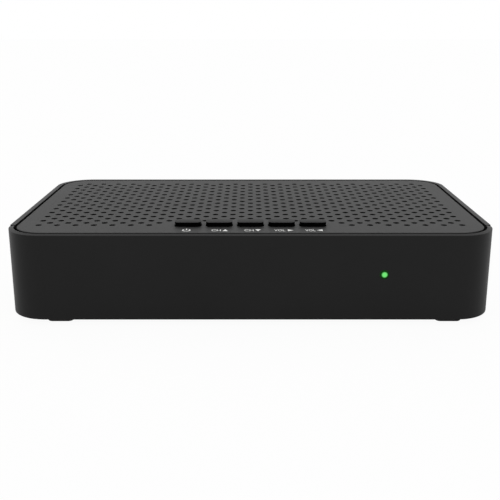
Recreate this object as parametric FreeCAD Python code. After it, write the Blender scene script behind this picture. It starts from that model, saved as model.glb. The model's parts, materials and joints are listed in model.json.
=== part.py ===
"""Satellite TV receiver: a low plastic case with a perforated lid, five keys and a board inside.

Millimetres, +Z up. The origin is the bottom centre of the whole object, with the tips of the aerial
sockets counted in. The front faces -Y, and left and right are as seen from the front.
"""
import FreeCAD, Part
import math
import os

# ---------------------------------------------------------------- case
case_width = 170.0
case_depth = 99.7
case_height = 30.5
corner_radius = 13.5
wall = 1.6
floor_thickness = 2.0
rim_width = 1.8
front_rim_width = 1.4
rim_slope_share = 0.93
rim_fall = 0.32
bottom_edge_radius = 0.3
edge_share = 0.8
least_corner_radius = 0.5
least_flat = 0.02
seam_setback = 13.5
seam_gap = 0.9
panel_clearance = 0.15
tongue_thickness = 1.5
tongue_root = 4.0
tongue_reach = 5.0
tongue_inset = 2.0

# ---------------------------------------------------------------- lid
lid_gap = 0.95
front_lid_gap = 1.4
lid_thickness = 2.0
lid_edge_radius = 0.3
ledge_width = 1.6
ledge_thickness = 1.5
hole_radius = 1.12
hole_pitch = 6.51
hole_side_margin = 9.3
hole_rear_margin = 9.5
front_row_setback = 13.6
key_gap_rows = 2
key_gap_half_width = 30.0

# ---------------------------------------------------------------- keys
key_count = 5
key_pitch = 11.0
key_width = 9.25
key_depth = 5.2
key_corner_radius = 1.6
key_edge_radius = 0.35
key_stand = 1.55
key_slot_clearance = 0.2
key_setback = 13.85
key_travel = 0.5
key_flange = 0.5
key_flange_thickness = 0.9
key_stop_gap = 0.05

# ---------------------------------------------------------------- switches and key board
switch_side = 6.0
switch_height = 3.4
plunger_radius = 1.7
plunger_clearance = 0.1
plunger_stand = 1.6
switch_base = 0.4
dome_thickness = 0.15
dome_rise = 0.35
dome_foot_radius = 1.36
dome_top_radius = 0.68
key_board_width = 100.0
key_board_depth = 16.0
key_board_setback = 5.0
key_board_thickness = 1.6
key_post_x = 34.0
key_post_setbacks = (8.5, 17.5)
key_post_radius = 2.6

# ---------------------------------------------------------------- status light and receiver eye
light_x = 45.8
light_drop = 14.05
light_window_radius = 1.6
light_recess = 0.15
light_flange_radius = 2.2
light_flange_thickness = 1.0
light_stem_length = 2.0
emitter_radius = 1.5
emitter_length = 4.0
emitter_collar_lip = 0.3
emitter_collar_thickness = 0.8
emitter_leg_side = 0.5
emitter_leg_offset = 1.0
emitter_leg_root = 0.4
emitter_leg_reach = 1.1
eye_x = -44.0
eye_width = 6.0
eye_depth = 4.6
eye_height = 7.0
eye_lens_stand = 1.5
eye_lens_radius = 2.28
eye_lens_setback = 2.4

# ---------------------------------------------------------------- feet and case screws
foot_height = 2.2
foot_side = 9.0
foot_corner_radius = 1.8
foot_recess = 0.6
foot_edge_radius = 0.3
foot_setback = 8.7
left_foot_inset = 17.75
right_foot_inset = 15.0
boss_inset = 7.0
front_boss_setback = 16.5
rear_boss_setback = 15.5
boss_radius = 2.3
boss_root = 0.5
pillar_radius = 3.8
pillar_height = 12.0
case_screw_radius = 1.15
case_screw_reach = 7.0
case_screw_head_radius = 2.3
case_screw_head_height = 1.6
case_screw_sink = 0.4
screw_end_gap = 0.3
recess_share = 0.55
recess_half_width = 0.3
screw_clearance = 0.15
thread_clearance = 0.05

# ---------------------------------------------------------------- main board
standoff_height = 3.6
standoff_radius = 3.0
standoff_margin = 1.2
board_thickness = 1.6
board_wall_gap = 3.2
board_front_setback = 20.5
board_rear_gap = 0.4
board_pillar_gap = 0.4
board_notch_width = 7.0
board_notch_depth = 18.0
board_screw_radius = 1.25
board_screw_head_radius = 2.6
board_screw_head_height = 1.6
board_screw_reach = 4.0

# ---------------------------------------------------------------- rear panel and aerial sockets
panel_thickness = 1.0
rear_opening_inset = 15.0
rear_opening_sill = 4.0
rear_opening_height = 20.5
panel_side_lap = 1.0
panel_slot_clearance = 0.1
panel_top_gap = 0.2
rear_rib_depth = 1.5
rear_rib_lap = 1.0
connector_reach = 8.0
aerial_rise = 8.0
aerial_radius = 4.76
aerial_root_radius = 4.95
aerial_bore_radius = 3.4
aerial_hex_width = 11.0
aerial_hex_length = 2.6
contact_radius = 0.5
contact_tail = 2.5
contact_length = 9.0
insulator_hole_radius = 0.8
insulator_recess = 0.4
nut_width = 11.0
nut_thickness = 2.0
washer_radius = 6.6
washer_thickness = 0.5
tuner_side = 8.5
tuner_depth = 22.0
tuner_height = 15.0
tuner_wall = 0.5
tuner_hole_radius = 1.2
tuner_hole_offset = 8.0
socket_cut_clearance = 0.25

# ---------------------------------------------------------------- other rear sockets
socket_stand = 0.6
socket_back = 1.5
video_tongue_side = 2.0
video_tongue_depth = 8.0
video_tongue_thickness = 1.6
video_slope = 2.2
video_size = (15.0, 11.0, 6.0)
network_size = (16.0, 16.0, 13.4)
network_hole = (11.8, 8.0, 10.0)
network_hole_lift = 1.0
network_latch_width = 6.0
network_latch_depth = 2.0
network_wire_count = 8
network_wire_pitch = 1.02
network_wire_width = 0.4
network_wire_thickness = 0.5
network_wire_end_gap = 2.5
data_size = (13.2, 14.0, 5.8)
data_tongue_side = 1.3
data_tongue_depth = 10.5
data_tongue_thickness = 1.7
data_tongue_drop = 0.5
audio_size = (10.0, 9.0, 11.0)
audio_barrel_radius = 4.15
audio_barrel_reach = 5.5
audio_shell = 0.7
audio_bore_radius = 1.6
audio_bore_floor = 1.5
audio_insulator_recess = 0.6
collar_root = 1.0
jack_size = (8.0, 12.0, 6.4)
jack_radius = 1.78
jack_bore_length = 11.5
jack_collar_radius = 2.9
power_size = (9.0, 12.0, 11.0)
power_bore_radius = 2.85
power_bore_length = 9.5
power_pin_radius = 1.0
power_pin_recess = 1.0
power_pin_tip_radius = 0.4
power_collar = 0.6
socket_shell = 0.6

# ---------------------------------------------------------------- card reader
card_width = 54.6
card_slot_clearance = 0.45
card_slot_height = 2.2
card_gap = 1.1
reader_reach = 50.0
reader_rail = 1.6
reader_floor = 1.4
reader_roof = 1.0
reader_end = 3.0
reader_window_near = 26.0
reader_window_far = 8.0
reader_window_side = 14.0
reader_wall_gap = 0.4
card_contact_rows = 2
card_contacts_in_row = 4
card_contact_row_pitch = 7.6
card_contact_pitch = 2.54
card_contact_size = (3.2, 1.0, 0.3)
card_contact_inset = 22.0

# ---------------------------------------------------------------- parts on the main board
processor_setback = 52.0
processor_side = 23.0
processor_height = 2.0
pad_side = 20.0
pad_height = 0.5
sink_side = 30.0
sink_base = 1.6
sink_height = 9.0
fin_count = 9
fin_thickness = 1.0
memory_setbacks = (36.0, 50.0)
memory_size = (13.0, 9.0, 1.1)
large_capacitor_radius = 4.0
large_capacitor_height = 11.0
large_capacitor_setback = 34.0
small_capacitor_radius = 3.2
small_capacitor_height = 9.0
small_capacitor_setback = 46.0
reader_capacitor_setback = 72.0
capacitor_edge_radius = 0.5
inductor_setbacks = (36.0, 50.0)
reader_inductor_setback = 58.0
inductor_corner_radius = 1.5
inductor_side = 8.0
inductor_height = 4.2
crystal_offset = 11.0
crystal_size = (11.0, 4.6, 3.6)
crystal_corner_radius = 2.25

# ---------------------------------------------------------------- ribbon between the boards
ribbon_x = 10.0
ribbon_width = 12.0
ribbon_thickness = 0.3
ribbon_run = 2.2
ribbon_bend_radius = 3.0
ribbon_socket_size = (15.0, 4.0, 2.6)

# ---------------------------------------------------------------- floor vents and label
vent_count = 13
vent_pitch = 6.0
vent_width = 2.0
vent_length = 24.0
vent_setback = 52.0
label_width = 62.0
label_depth = 26.0
label_thickness = 0.15
label_corner_radius = 1.5
label_setback = 82.0

# ---------------------------------------------------------------- derived places
half_width = case_width / 2
left_foot_x = -half_width + left_foot_inset
right_foot_x = half_width - right_foot_inset
boss_x = half_width - boss_inset
board_side = half_width - wall - board_wall_gap
reader_side = -half_width + wall + reader_wall_gap + reader_reach
rear_opening_width = case_width - 2 * rear_opening_inset
front_y = -(case_depth + connector_reach) / 2
rear_y = front_y + case_depth
base_z = foot_height
top_z = base_z + case_height
floor_z = base_z + floor_thickness
lid_z = top_z - lid_thickness
ledge_z = lid_z - ledge_thickness
seam_y = front_y + seam_setback
board_z = floor_z + standoff_height
board_top = board_z + board_thickness
panel_outer_y = rear_y - wall
panel_inner_y = panel_outer_y - panel_thickness
board_rear_y = panel_inner_y - board_rear_gap
aerial_z = board_top + aerial_rise
pillar_top = base_z + pillar_height
key_y = front_y + key_setback
key_board_top = lid_z - key_flange_thickness - key_stop_gap - plunger_stand - switch_height
key_board_z = key_board_top - key_board_thickness
light_z = top_z - light_drop
lead_in = 1.0


def slab(x0, x1, y0, y1, z0, z1, radius=0.0):
    """A plate between two corners, with its upright edges rounded."""
    if radius <= 0.0:
        return Part.makeBox(x1 - x0, y1 - y0, z1 - z0, FreeCAD.Vector(x0, y0, z0))
    turn = radius * (1 - math.sqrt(0.5))
    corners = [(x0, y0, 1, 1), (x1, y0, -1, 1), (x1, y1, -1, -1), (x0, y1, 1, -1)]
    edges = []
    ends = []
    for index, (x, y, sx, sy) in enumerate(corners):
        side = FreeCAD.Vector(x, y + sy * radius, z0)
        flat = FreeCAD.Vector(x + sx * radius, y, z0)
        middle = FreeCAD.Vector(x + sx * turn, y + sy * turn, z0)
        start, end = (side, flat) if index % 2 == 0 else (flat, side)
        edges.append(Part.Arc(start, middle, end).toShape())
        ends.append((start, end))
    for index in range(4):
        here = ends[index][1]
        there = ends[(index + 1) % 4][0]
        if here.distanceToPoint(there) > 1e-6:
            edges.append(Part.LineSegment(here, there).toShape())
    outline = Part.Wire(Part.__sortEdges__(edges))
    return Part.Face(outline).extrude(FreeCAD.Vector(0, 0, z1 - z0))


def block(centre_x, size, y0, z0):
    """A plain box centred on centre_x, given as width, depth and height."""
    return slab(centre_x - size[0] / 2, centre_x + size[0] / 2, y0, y0 + size[1], z0, z0 + size[2])


def rod(x, y, z, radius, length, axis="z"):
    """A cylinder that starts at a point and runs along +X, +Y or +Z."""
    direction = {"x": (1, 0, 0), "y": (0, 1, 0), "z": (0, 0, 1)}[axis]
    return Part.makeCylinder(radius, length, FreeCAD.Vector(x, y, z), FreeCAD.Vector(*direction))


def hexagon(x, y, z, across_flats, length):
    """A hexagonal prism along +Y."""
    reach = across_flats / math.sqrt(3)
    points = []
    for step in range(7):
        angle = math.radians(60 * step)
        points.append(FreeCAD.Vector(x + reach * math.cos(angle), y, z + reach * math.sin(angle)))
    return Part.Face(Part.makePolygon(points)).extrude(FreeCAD.Vector(0, length, 0))


def join(shapes):
    """One solid from several that touch or overlap."""
    return shapes[0].multiFuse(shapes[1:]).removeSplitter()


def group(shapes):
    """Separate solids kept together in one node."""
    return Part.makeCompound(shapes)


def case_slab(inset, z0, z1):
    """The outline of the case, drawn in by inset."""
    radius = max(corner_radius - inset, least_corner_radius)
    return slab(-half_width + inset, half_width - inset, front_y + inset, rear_y - inset, z0, z1, radius)


def level_edges(shape, z):
    """The edges that lie flat at a height."""
    return [edge for edge in shape.Edges
            if abs(edge.BoundBox.ZMin - z) < 1e-4 and abs(edge.BoundBox.ZMax - z) < 1e-4]


def rim_slab(side, front, z0, z1):
    """The outline of the case, drawn in by one inset at its sides and rear and another at its front."""
    radius = max(corner_radius - side, least_corner_radius)
    return slab(-half_width + side, half_width - side, front_y + front, rear_y - side, z0, z1, radius)


def case_shell(sloped_rim):
    """The whole hollow case with its ledge for the lid, its rim flat or falling outwards."""
    body = case_slab(0.0, base_z, top_z)
    if sloped_rim:
        body = body.makeChamfer(rim_fall, front_rim_width * rim_slope_share, level_edges(body, top_z))
    body = body.makeFillet(min(bottom_edge_radius, floor_thickness * edge_share), level_edges(body, base_z))
    hollow = case_slab(wall, floor_z, ledge_z)
    throat = rim_slab(rim_width + lid_gap + ledge_width, front_rim_width + front_lid_gap + ledge_width,
                      ledge_z, lid_z)
    pocket = rim_slab(rim_width, front_rim_width, lid_z, top_z + lead_in)
    return body.cut([hollow, throat, pocket])


def half_space(y0, y1):
    """A block that covers the case from y0 to y1."""
    return slab(-case_width, case_width, y0, y1, 0.0, top_z + case_height)


def feet_places():
    """The centres of the four feet."""
    rows = (front_y + foot_setback, rear_y - foot_setback)
    return [(x, y) for y in rows for x in (left_foot_x, right_foot_x)]


def boss_places():
    """The centres of the four case screws."""
    rows = (front_y + front_boss_setback, rear_y - rear_boss_setback)
    return [(x, y) for y in rows for x in (-boss_x, boss_x)]


def standoff_places():
    """The centres of the four screws that hold the main board."""
    edge = standoff_radius + standoff_margin
    front = front_y + board_front_setback + edge
    beside_notch = -board_side + board_notch_width + standoff_radius
    return [(board_side - edge, front), (board_side - edge, board_rear_y - board_notch_depth - edge),
            (reader_side + edge, front), (beside_notch, board_rear_y - board_notch_depth / 2)]


def key_post_places():
    """The centres of the four posts that carry the key board."""
    return [(x, front_y + setback) for setback in key_post_setbacks for x in (-key_post_x, key_post_x)]


def key_centres():
    """The X of each key, from left to right."""
    return [(index - (key_count - 1) / 2) * key_pitch for index in range(key_count)]


def rear_rib_y():
    """The face of the two ribs that hold the rear panel against the rear wall."""
    return panel_inner_y - panel_slot_clearance


def base_tray():
    """Floor, side walls, rear rim, posts and pillars, in one moulding."""
    shell = case_shell(False).common(half_space(seam_y + seam_gap / 2, rear_y + 1))
    front_floor = case_slab(wall + panel_clearance, base_z, floor_z)
    front_floor = front_floor.common(half_space(front_y, seam_y + seam_gap))
    added = [shell, front_floor]
    for x, y in boss_places():
        added.append(rod(x, y, base_z, pillar_radius, pillar_height))
    for x, y in standoff_places():
        added.append(rod(x, y, base_z, standoff_radius, floor_thickness + standoff_height))
    for x, y in key_post_places():
        added.append(rod(x, y, base_z, key_post_radius, key_board_z - base_z))
    rib_y = rear_rib_y()
    for side in (-1, 1):
        near = side * (rear_opening_width / 2 - rear_rib_lap)
        far = side * (rear_opening_width / 2 + panel_side_lap)
        added.append(slab(min(near, far), max(near, far), rib_y - rear_rib_depth, rib_y, base_z, ledge_z))
    tray = join(added)
    cuts = [slab(-rear_opening_width / 2, rear_opening_width / 2, rear_y - wall - 0.01, rear_y + 1,
                 base_z + rear_opening_sill, base_z + rear_opening_sill + rear_opening_height)]
    for x, y in boss_places():
        cuts.append(rod(x, y, base_z - 1, case_screw_radius + screw_clearance, pillar_height + 2))
        cuts.append(rod(x, y, base_z - 1, case_screw_head_radius + screw_clearance,
                        case_screw_head_height + lead_in + case_screw_sink))
    for x, y in standoff_places():
        cuts.append(rod(x, y, board_z - board_screw_reach, board_screw_radius + thread_clearance,
                        board_screw_reach + 1))
    for x, y in key_post_places():
        cuts.append(rod(x, y, key_board_z - board_screw_reach, board_screw_radius + thread_clearance,
                        board_screw_reach + 1))
    for x, y in feet_places():
        cuts.append(foot_outline(x, y, screw_clearance, base_z - 1, base_z + foot_recess))
    slot_z = board_top + reader_floor + card_gap / 2
    slot_reach = card_width / 2 + card_slot_clearance
    cuts.append(slab(-half_width - 1, -half_width + wall + 0.01, reader_middle_y() - slot_reach,
                     reader_middle_y() + slot_reach, slot_z - card_slot_height / 2,
                     slot_z + card_slot_height / 2))
    for index in range(vent_count):
        x = (index - (vent_count - 1) / 2) * vent_pitch
        y = front_y + vent_setback
        cuts.append(slab(x - vent_width / 2, x + vent_width / 2, y - vent_length / 2,
                         y + vent_length / 2, base_z - 1, floor_z + 1, vent_width / 2 - least_flat))
    return tray.cut(cuts)


def front_panel():
    """The front wall with both rounded corners, its share of the lid's ledge, and two side tongues."""
    shell = case_shell(True).common(half_space(front_y - 1, seam_y - seam_gap / 2))
    shell = shell.cut(case_slab(wall, base_z - 1, floor_z))
    inner = half_width - wall
    tongue_low = pillar_top + tongue_inset
    tongue_high = ledge_z - tongue_inset
    added = [shell]
    for side in (-1, 1):
        root = (side * (inner - tongue_thickness), side * (inner + wall / 4))
        tip = (side * (inner - tongue_thickness), side * (inner - panel_clearance))
        added.append(slab(min(root), max(root), seam_y - tongue_root, seam_y - seam_gap / 2, tongue_low,
                          tongue_high))
        added.append(slab(min(tip), max(tip), seam_y - tongue_root, seam_y + tongue_reach, tongue_low,
                          tongue_high))
    panel = join(added)
    return panel.cut(rod(light_x, front_y - 1, light_z, light_window_radius + thread_clearance,
                         wall + 2, "y"))


def lid_hole_places():
    """The centre of each hole of the staggered grid, without the patch that the keys take."""
    places = []
    rows = 1 + math.floor((case_depth - front_row_setback - hole_rear_margin) / (hole_pitch / 2))
    longest = 2 * math.floor((half_width - hole_side_margin) / hole_pitch + 0.5)
    for row in range(rows):
        y = front_y + front_row_setback + row * hole_pitch / 2
        count = longest if row % 2 == 0 else longest - 1
        for index in range(count):
            x = (index - (count - 1) / 2) * hole_pitch
            if row >= key_gap_rows or abs(x) > key_gap_half_width:
                places.append((x, y))
    return places


def key_outline(x, grow, z0, z1):
    """The outline of a key, grown all round, as a plate."""
    return slab(x - key_width / 2 - grow, x + key_width / 2 + grow, key_y - key_depth / 2 - grow,
                key_y + key_depth / 2 + grow, z0, z1, key_corner_radius + grow)


def top_cover():
    """The perforated lid with five key slots, and the four bosses that its screws bite in."""
    plate = rim_slab(rim_width + lid_gap, front_rim_width + front_lid_gap, lid_z, top_z)
    plate = plate.makeFillet(min(lid_edge_radius, lid_thickness / 3), level_edges(plate, top_z))
    lid = join([plate] + [rod(x, y, pillar_top, boss_radius, lid_z - pillar_top + boss_root)
                          for x, y in boss_places()])
    cuts = [rod(x, y, lid_z - 1, hole_radius, lid_thickness + 2) for x, y in lid_hole_places()]
    cuts += [key_outline(x, key_slot_clearance, lid_z - 1, top_z + 1) for x in key_centres()]
    for x, y in boss_places():
        cuts.append(rod(x, y, pillar_top - 1, case_screw_radius + thread_clearance,
                        case_screw_reach + 1 + screw_end_gap))
    return lid.cut(cuts)


def key_cap(x):
    """One key: a cap that stands out of the lid, its retaining flange and its stem."""
    cap = key_outline(x, 0.0, lid_z - key_stop_gap - key_flange_thickness, top_z + key_stand)
    cap = cap.makeFillet(key_edge_radius, level_edges(cap, top_z + key_stand))
    flange = key_outline(x, key_flange, lid_z - key_stop_gap - key_flange_thickness, lid_z - key_stop_gap)
    return join([cap, flange])


def key_plunger(x):
    """The switch plunger under a key, from the key's underside down into the switch."""
    top = lid_z - key_stop_gap - key_flange_thickness
    bottom = key_board_top + switch_base + dome_rise + key_travel + thread_clearance
    return rod(x, key_y, bottom, plunger_radius, top - bottom)


def key_switches():
    """Five switch housings on the key board, each a hollow square block."""
    housings = []
    for x in key_centres():
        housing = block(x, (switch_side, switch_side, switch_height), key_y - switch_side / 2, key_board_top)
        well = rod(x, key_y, key_board_top + switch_base, plunger_radius + plunger_clearance, switch_height)
        housings.append(housing.cut(well))
    return group(housings)


def switch_domes():
    """The sprung contact disc at the bottom of each switch, drawn as a shallow cap."""
    domes = []
    for x in key_centres():
        bottom = key_board_top + switch_base
        disc = rod(x, key_y, bottom, plunger_radius, dome_thickness)
        crown = Part.makeCone(dome_foot_radius, dome_top_radius, dome_rise - dome_thickness,
                              FreeCAD.Vector(x, key_y, bottom + dome_thickness))
        domes.append(join([disc, crown]))
    return group(domes)


def key_board():
    """The narrow board under the keys."""
    y0 = front_y + key_board_setback
    board = slab(-key_board_width / 2, key_board_width / 2, y0, y0 + key_board_depth, key_board_z,
                 key_board_top, 1.0)
    holes = [rod(x, y, key_board_z - 1, board_screw_radius + screw_clearance, key_board_thickness + 2)
             for x, y in key_post_places()]
    return board.cut(holes)


def pan_screw(x, y, seat_z, reach, radius, head_radius, head_height, point_up=False):
    """A screw with a pan head and a cross recess; its head sits at seat_z."""
    head_z = seat_z - head_height if point_up else seat_z
    shank_z = seat_z if point_up else seat_z - reach
    screw = join([rod(x, y, head_z, head_radius, head_height), rod(x, y, shank_z, radius, reach)])
    middle = head_z + head_height / 2
    low, high = (head_z - 1, middle) if point_up else (middle, head_z + head_height + 1)
    long = head_radius * recess_share
    short = recess_half_width
    return screw.cut([slab(x - long, x + long, y - short, y + short, low, high),
                      slab(x - short, x + short, y - long, y + long, low, high)])


def case_screws():
    """Four screws, driven from below through the tray's pillars into the lid's bosses."""
    seat = base_z + case_screw_head_height + case_screw_sink
    reach = pillar_top + case_screw_reach - seat
    return group([pan_screw(x, y, seat, reach, case_screw_radius, case_screw_head_radius,
                            case_screw_head_height, point_up=True) for x, y in boss_places()])


def board_screws():
    """Four screws through the main board."""
    reach = board_thickness + board_screw_reach - screw_end_gap
    return group([pan_screw(x, y, board_top, reach, board_screw_radius, board_screw_head_radius,
                            board_screw_head_height) for x, y in standoff_places()])


def key_board_screws():
    """Four screws through the key board."""
    reach = key_board_thickness + board_screw_reach - screw_end_gap
    return group([pan_screw(x, y, key_board_top, reach, board_screw_radius, board_screw_head_radius,
                            board_screw_head_height) for x, y in key_post_places()])


def main_board():
    """The main board, notched at the rear corners for the pillars."""
    board = slab(-board_side, board_side, front_y + board_front_setback, board_rear_y, board_z, board_top)
    cuts = []
    for sign in (-1, 1):
        near = sign * (board_side - board_notch_width)
        far = sign * (board_side + 1)
        cuts.append(slab(min(near, far), max(near, far), board_rear_y - board_notch_depth, rear_y,
                         board_z - 1, board_top + 1))
        rib = sign * (rear_opening_width / 2 - rear_rib_lap - board_pillar_gap)
        cuts.append(slab(min(rib, far), max(rib, far), rear_rib_y() - rear_rib_depth - board_pillar_gap,
                         rear_y, board_z - 1, board_top + 1))
    cuts += pillar_room(1)
    for x, y in standoff_places():
        cuts.append(rod(x, y, board_z - 1, board_screw_radius + screw_clearance, board_thickness + 2))
    return board.cut(cuts)


def foot_outline(x, y, grow, z0, z1):
    """The outline of a square foot, grown all round, as a plate."""
    half = foot_side / 2 + grow
    return slab(x - half, x + half, y - half, y + half, z0, z1, foot_corner_radius + grow)


def rubber_foot(x, y):
    """One rubber foot, seated in its shallow recess."""
    foot = foot_outline(x, y, 0.0, 0.0, base_z + foot_recess)
    return foot.makeFillet(foot_edge_radius, level_edges(foot, 0.0))


def light_pipe():
    """The clear status window in the front wall, with its flange inside."""
    stem_start = front_y + wall + light_flange_thickness
    return join([rod(light_x, front_y + light_recess, light_z, light_window_radius,
                     wall - light_recess, "y"),
                 rod(light_x, front_y + wall, light_z, light_flange_radius, light_flange_thickness, "y"),
                 rod(light_x, stem_start, light_z, light_window_radius, light_stem_length, "y")])


def status_light():
    """The light emitter, hung below the key board by its two legs."""
    tip_y = front_y + wall + light_flange_thickness + light_stem_length
    end_y = tip_y + emitter_length
    body = rod(light_x, tip_y + emitter_radius, light_z, emitter_radius, emitter_length - emitter_radius,
               "y")
    nose = Part.makeSphere(emitter_radius, FreeCAD.Vector(light_x, tip_y + emitter_radius, light_z))
    collar = rod(light_x, end_y - emitter_collar_thickness, light_z, emitter_radius + emitter_collar_lip,
                 emitter_collar_thickness, "y")
    side = emitter_leg_side
    pieces = [body, nose, collar]
    for x in (light_x - emitter_leg_offset, light_x + emitter_leg_offset):
        pieces.append(block(x, (side, emitter_leg_root + emitter_leg_reach, side),
                            end_y - emitter_leg_root, light_z - side / 2))
        pieces.append(slab(x - side / 2, x + side / 2, end_y + emitter_leg_reach - side,
                           end_y + emitter_leg_reach, light_z - side / 2, key_board_z))
    return join(pieces)


def receiver_eye():
    """The infrared receiver under the key board, with a round lens towards the front."""
    y0 = front_y + key_board_setback
    body = block(eye_x, (eye_width, eye_depth - eye_lens_stand, eye_height), y0 + eye_lens_stand,
                 key_board_z - eye_height)
    centre = FreeCAD.Vector(eye_x, y0 + eye_lens_setback, key_board_z - eye_height / 2)
    return join([body, Part.makeSphere(eye_lens_radius, centre)])


def ribbon_socket(y0, z0):
    """A ribbon socket."""
    return block(ribbon_x, ribbon_socket_size, y0, z0)


def ribbon_start_y():
    """Where the ribbon leaves the key board's socket."""
    return front_y + key_board_setback + key_board_depth


def ribbon_drop_y():
    """Where the ribbon hangs down to the main board."""
    return ribbon_start_y() + ribbon_run + ribbon_bend_radius


def ribbon_sockets():
    """One socket under the key board and one on the main board."""
    upper = ribbon_socket(ribbon_start_y() - ribbon_socket_size[1], key_board_z - ribbon_socket_size[2])
    lower = ribbon_socket(ribbon_drop_y() - ribbon_socket_size[1] / 2, board_top)
    return group([upper, lower])


def ribbon_cable():
    """The flat ribbon: straight out, one bend, and straight down."""
    y0 = ribbon_start_y()
    y1 = ribbon_drop_y()
    top = key_board_z - ribbon_socket_size[2] / 2
    half = ribbon_thickness / 2
    x0 = ribbon_x - ribbon_width / 2
    flat = slab(x0, x0 + ribbon_width, y0, y1 - ribbon_bend_radius, top - half, top + half)
    centre = FreeCAD.Vector(x0, y1 - ribbon_bend_radius, top - ribbon_bend_radius)
    along = FreeCAD.Vector(1, 0, 0)
    outer = Part.makeCylinder(ribbon_bend_radius + half, ribbon_width, centre, along)
    inner = Part.makeCylinder(ribbon_bend_radius - half, ribbon_width, centre, along)
    corner = slab(x0, x0 + ribbon_width, centre.y, y1 + half, centre.z, top + half)
    bend = outer.cut(inner).common(corner)
    drop = slab(x0, x0 + ribbon_width, y1 - half, y1 + half, board_top + ribbon_socket_size[2], centre.z)
    return join([flat, bend, drop])


def evenly(start, end, widths):
    """The middle of each piece of a row from start to end, with equal gaps between the pieces."""
    gap = (end - start - sum(widths.values())) / (len(widths) + 1)
    places = {}
    x = start
    for name, width in widths.items():
        places[name] = x + gap + width / 2
        x += gap + width
    return places


def socket_places():
    """The X of each rear socket."""
    widths = {"power": power_size[0], "jack": jack_size[0], "audio": audio_size[0], "data": data_size[0],
              "network": network_size[0], "video": video_size[0], "loop": 2 * washer_radius,
              "aerial": 2 * washer_radius}
    return evenly(-rear_opening_width / 2, rear_opening_width / 2, widths)


def board_columns():
    """The X of each column of parts on the main board, beside the card reader."""
    widths = {"near_reader": inductor_side, "processor": sink_side, "memory": memory_size[0],
              "inductors": inductor_side, "inner_capacitors": 2 * large_capacitor_radius,
              "outer_capacitors": 2 * large_capacitor_radius}
    return evenly(reader_side, board_side, widths)


def aerial_places():
    """The X of the two aerial sockets, the input first."""
    places = socket_places()
    return [places["aerial"], places["loop"]]


def aerial_socket(x):
    """A threaded aerial socket with a hexagonal shoulder behind the rear panel."""
    shoulder_y = panel_inner_y - aerial_hex_length
    root_end = panel_outer_y + washer_thickness + nut_thickness
    root = rod(x, shoulder_y, aerial_z, aerial_root_radius, root_end - shoulder_y, "y")
    barrel = rod(x, root_end, aerial_z, aerial_radius, rear_y + connector_reach - root_end, "y")
    body = join([root, barrel, hexagon(x, shoulder_y, aerial_z, aerial_hex_width, aerial_hex_length)])
    bore = rod(x, shoulder_y - 1, aerial_z, aerial_bore_radius, connector_reach * 4, "y")
    return body.cut(bore)


def aerial_insulators():
    """The insulating plug that fills each aerial socket, with the hole for a cable's core."""
    start = panel_inner_y - aerial_hex_length
    length = rear_y + connector_reach - insulator_recess - start
    plugs = []
    for x in aerial_places():
        plug = rod(x, start, aerial_z, aerial_bore_radius - thread_clearance, length, "y")
        plugs.append(plug.cut(rod(x, start - 1, aerial_z, insulator_hole_radius, length + 2, "y")))
    return group(plugs)


def aerial_contacts():
    """The centre contact of each aerial socket, which runs back into the tuner."""
    start = panel_inner_y - aerial_hex_length - contact_tail
    return group([rod(x, start, aerial_z, contact_radius, contact_length, "y") for x in aerial_places()])


def aerial_washers():
    """A flat washer under each nut."""
    hole = aerial_root_radius + thread_clearance
    return group([rod(x, panel_outer_y, aerial_z, washer_radius, washer_thickness, "y").cut(
        rod(x, panel_outer_y - 1, aerial_z, hole, washer_thickness + 2, "y")) for x in aerial_places()])


def aerial_nuts():
    """A hexagonal nut on each aerial socket, outside the rear panel."""
    start = panel_outer_y + washer_thickness
    hole = aerial_root_radius + thread_clearance
    return group([hexagon(x, start, aerial_z, nut_width, nut_thickness).cut(
        rod(x, start - 1, aerial_z, hole, nut_thickness + 2, "y")) for x in aerial_places()])


def tuner_centre():
    """The X of the middle of the tuner can."""
    return sum(aerial_places()) / 2


def tuner_width():
    """The width of the tuner can, which reaches past both aerial sockets."""
    return abs(aerial_places()[0] - aerial_places()[1]) + 2 * tuner_side


def tuner_front_y():
    """The Y of the tuner can's front wall."""
    return panel_inner_y - aerial_hex_length - tuner_depth


def tuner_can():
    """The screening frame round the tuner, open at its top."""
    can = block(tuner_centre(), (tuner_width(), tuner_depth, tuner_height), tuner_front_y(), board_top)
    room = (tuner_width() - 2 * tuner_wall, tuner_depth - 2 * tuner_wall, tuner_height)
    inside = block(tuner_centre(), room, tuner_front_y() + tuner_wall, board_top + tuner_wall)
    cuts = [inside]
    for x in aerial_places():
        cuts.append(rod(x, tuner_front_y() + tuner_depth / 2, aerial_z, insulator_hole_radius,
                        tuner_depth, "y"))
    return can.cut(cuts)


def tuner_lid():
    """The pressed lid of the tuner can."""
    plate = block(tuner_centre(), (tuner_width(), tuner_depth, tuner_wall), tuner_front_y(),
                  board_top + tuner_height)
    return plate.cut([rod(tuner_centre() + shift, tuner_front_y() + tuner_depth / 2,
                          board_top + tuner_height - 1, tuner_hole_radius, tuner_wall + 2)
                      for shift in (-tuner_hole_offset, tuner_hole_offset)])


def rear_sockets():
    """Centre X, size and bottom of each square socket that passes through the rear panel."""
    places = socket_places()
    return [(places["video"], video_size), (places["network"], network_size), (places["data"], data_size)]


def round_sockets():
    """Centre X, height and radius of each round opening in the rear panel."""
    audio_z = board_top + audio_size[2] / 2
    jack_z = board_top + jack_size[2] / 2
    power_z = board_top + power_size[2] / 2
    places = socket_places()
    return [(places["audio"], audio_z, audio_barrel_radius), (places["jack"], jack_z, jack_collar_radius),
            (places["power"], power_z, power_bore_radius + power_collar)]


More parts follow.
